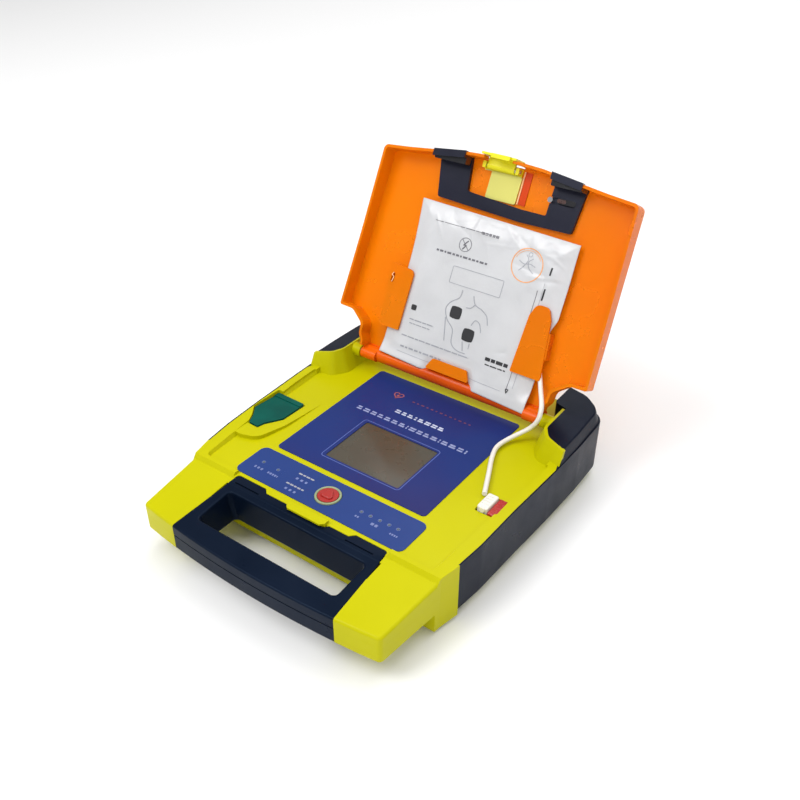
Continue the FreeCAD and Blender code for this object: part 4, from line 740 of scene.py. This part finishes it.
b = Batch()
patch(b, -15.6, 188.6, -4.2, 199.6, 0.14)
patch(b, 1.8, 203.8, 13.4, 215.2, 0.14)
patch(b, -55.4, 199.2, -49.8, 204.2, 0.1)
b.make("print_pad_positions", M["print_black"], "lid")
b = Batch()
strokes(b, circle(-19.4, 135.6, 5.9, 34), 0.5, True)
strokes(b, [(-17.2, 131.8), (-21.0, 136.2), (-18.2, 136.0), (-21.2, 140.0)], 1.1)
strokes(b, [(-23.2, 131.6), (-15.4, 139.6)], 0.5)
pouch_dashes(b, -46.0, 6.0, 146.3, 1.7, (2.4, 3.4, 1.8, 4.0), 1.3, rp)
pouch_dashes(b, -55.0, 11.0, 121.8, 0.5, (9.0, 14.0, 6.0), 1.0, rp)
pouch_dashes(b, -7.0, 10.0, 122.0, 2.2, (3.0, 2.4), 0.8, rp)
strokes(b, [(58.0, 155.0), (57.2, 243.0)], 0.45)
b.make("print_pouch_fine", M["print_grey"], "lid")
b = Batch()
for x in (57.9,):
    strokes(b, [(x - 1.3, 242.0), (x, 245.4), (x + 1.3, 242.0), (x - 1.3, 242.0)], 0.9)
for y0, y1, x in ((133.8, 140.5, 65.0), (152.0, 162.0, 64.2)):
    strokes(b, [(x, y0), (x - 0.4, y1)], 1.5)
pouch_dashes(b, 30.0, 52.0, 223.4, 3.0, (5.2, 4.6, 5.6), 1.0, rp)
pouch_dashes(b, 31.0, 51.0, 228.2, 1.0, (4.0, 6.0), 0.9, rp)
b.make("print_pouch_bold", M["print_black"], "lid")
b = Batch()
strokes(b, rrect(-24.8, 155.6, 26.4, 170.4, 0.8, 2), 0.45, True)
pouch_dashes(b, -54.0, -28.0, 212.4, 1.0, (5.0, 7.0, 4.0), 0.9, rp)
pouch_dashes(b, -53.0, -30.0, 216.0, 0.8, (4.0, 3.0, 6.0), 0.8, rp)
pouch_dashes(b, -57.5, 14.0, 228.4, 1.1, (5.5, 8.0, 3.5, 6.5), 0.9, rp)
pouch_dashes(b, -55.5, -12.0, 238.4, 1.5, (3.4, 2.2, 5.2), 1.5, rp)
strokes(b, [(-58.0, 243.6), (52.0, 245.4)], 0.35)
strokes(b, [(62.4, 148.0), (62.4, 240.0)], 0.3)
b.make("print_pouch_rules", M["print_pale"], "lid")
b = Batch()
strokes(b, circle(42.2, 137.6, 14.2, 64), 0.9, True)
strokes(b, arc(42.2, 137.6, 12.4, 12.4, 200, 330, 20), 0.4)
b.make("print_ring", M["print_orange"], "lid")
b = Batch()
strokes(b, smooth_path([(39.0, 129.0), (42.0, 133.0), (40.0, 138.0), (36.0, 143.5)]), 0.6)
strokes(b, smooth_path([(46.5, 131.0), (43.0, 134.5), (44.5, 139.5), (49.5, 143.0)]), 0.6)
strokes(b, smooth_path([(34.0, 135.0), (39.0, 137.0), (45.0, 136.0), (50.0, 137.5)]), 0.6)
strokes(b, circle(42.6, 128.4, 1.8, 16), 0.5, True)
b.make("print_ring_figure", M["print_pale"], "lid")

# ---------------------------------------------------------------- small lid pieces
def in_lid(x, y, h):
    return L(x, y, 67.16 - h)


b = Batch()
b.add(slab(rrect(49.0, 78.2, 66.5, 82.6, 2.1, 6), (-0.03, 0.10), in_lid))
b.make("trim_slot_shadow", M["trim_gloss"], "lid")
# Painted shade: a dark reddish-brown slab in the trim slot stands in for the shade inside the hole.
b = Batch()
b.add(slab(rrect(49.6, 78.8, 57.6, 82.0, 1.5, 6), (0.06, 0.16), in_lid))
b.make("trim_slot_painted_shade", M["slot_painted_shade"], "lid")


# Painted highlight: a pale amber sliver in the left clip's slot.
b = Batch()
b.add(ribbon(smooth_path([(-81.2, 177.0), (-82.6, 179.2), (-80.6, 181.0), (-81.4, 185.6)]), 0.8, (-0.02, 0.10), lambda x, y, h: L(x, y, 61.2 - h)))
b.make("clip_slot_painted_highlight", M["amber_painted_highlight"], "lid")


def on_floor(x, y, h):
    return L(x, y, 71.0 - h)


b = Batch()
# Painted shade: a deep amber strip on the lid floor between the latch plate and the trim.
b.add(slab([(14.0, 64.0), (20.4, 64.0), (20.8, 91.8), (14.4, 91.4)], (0.0, 0.9), on_floor))
b.make("lid_rib_painted_shade", M["amber_painted_shade"], "lid")
b = Batch()
# Painted highlight: a pale amber line along the strip's edge.
b.add(slab([(12.9, 64.0), (13.9, 64.0), (14.3, 91.4), (13.3, 91.4)], (0.0, 1.6), on_floor))
b.make("lid_rib_painted_highlight", M["amber_painted_highlight"], "lid")

# ---------------------------------------------------------------- cord dress
lead.data.materials.append(M["lead"])
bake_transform(lead)
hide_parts("pads_lead")
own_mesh(NODES["button_spring"])

# ---------------------------------------------------------------- stage
me = bpy.data.meshes.new("floor")
me.from_pydata([(-6, -6, 0), (6, -6, 0), (6, 6, 0), (-6, 6, 0)], [], [(0, 1, 2, 3)])
floor = bpy.data.objects.new("floor", me)
SCENE.collection.objects.link(floor)
fm = bpy.data.materials.new("floor_pale")
fm.use_nodes = True
fb = fm.node_tree.nodes["Principled BSDF"]
fb.inputs["Base Color"].default_value = (0.90, 0.90, 0.90, 1)
fb.inputs["Roughness"].default_value = 0.75
fb.inputs["Specular IOR Level"].default_value = 0.2
me.materials.append(fm)
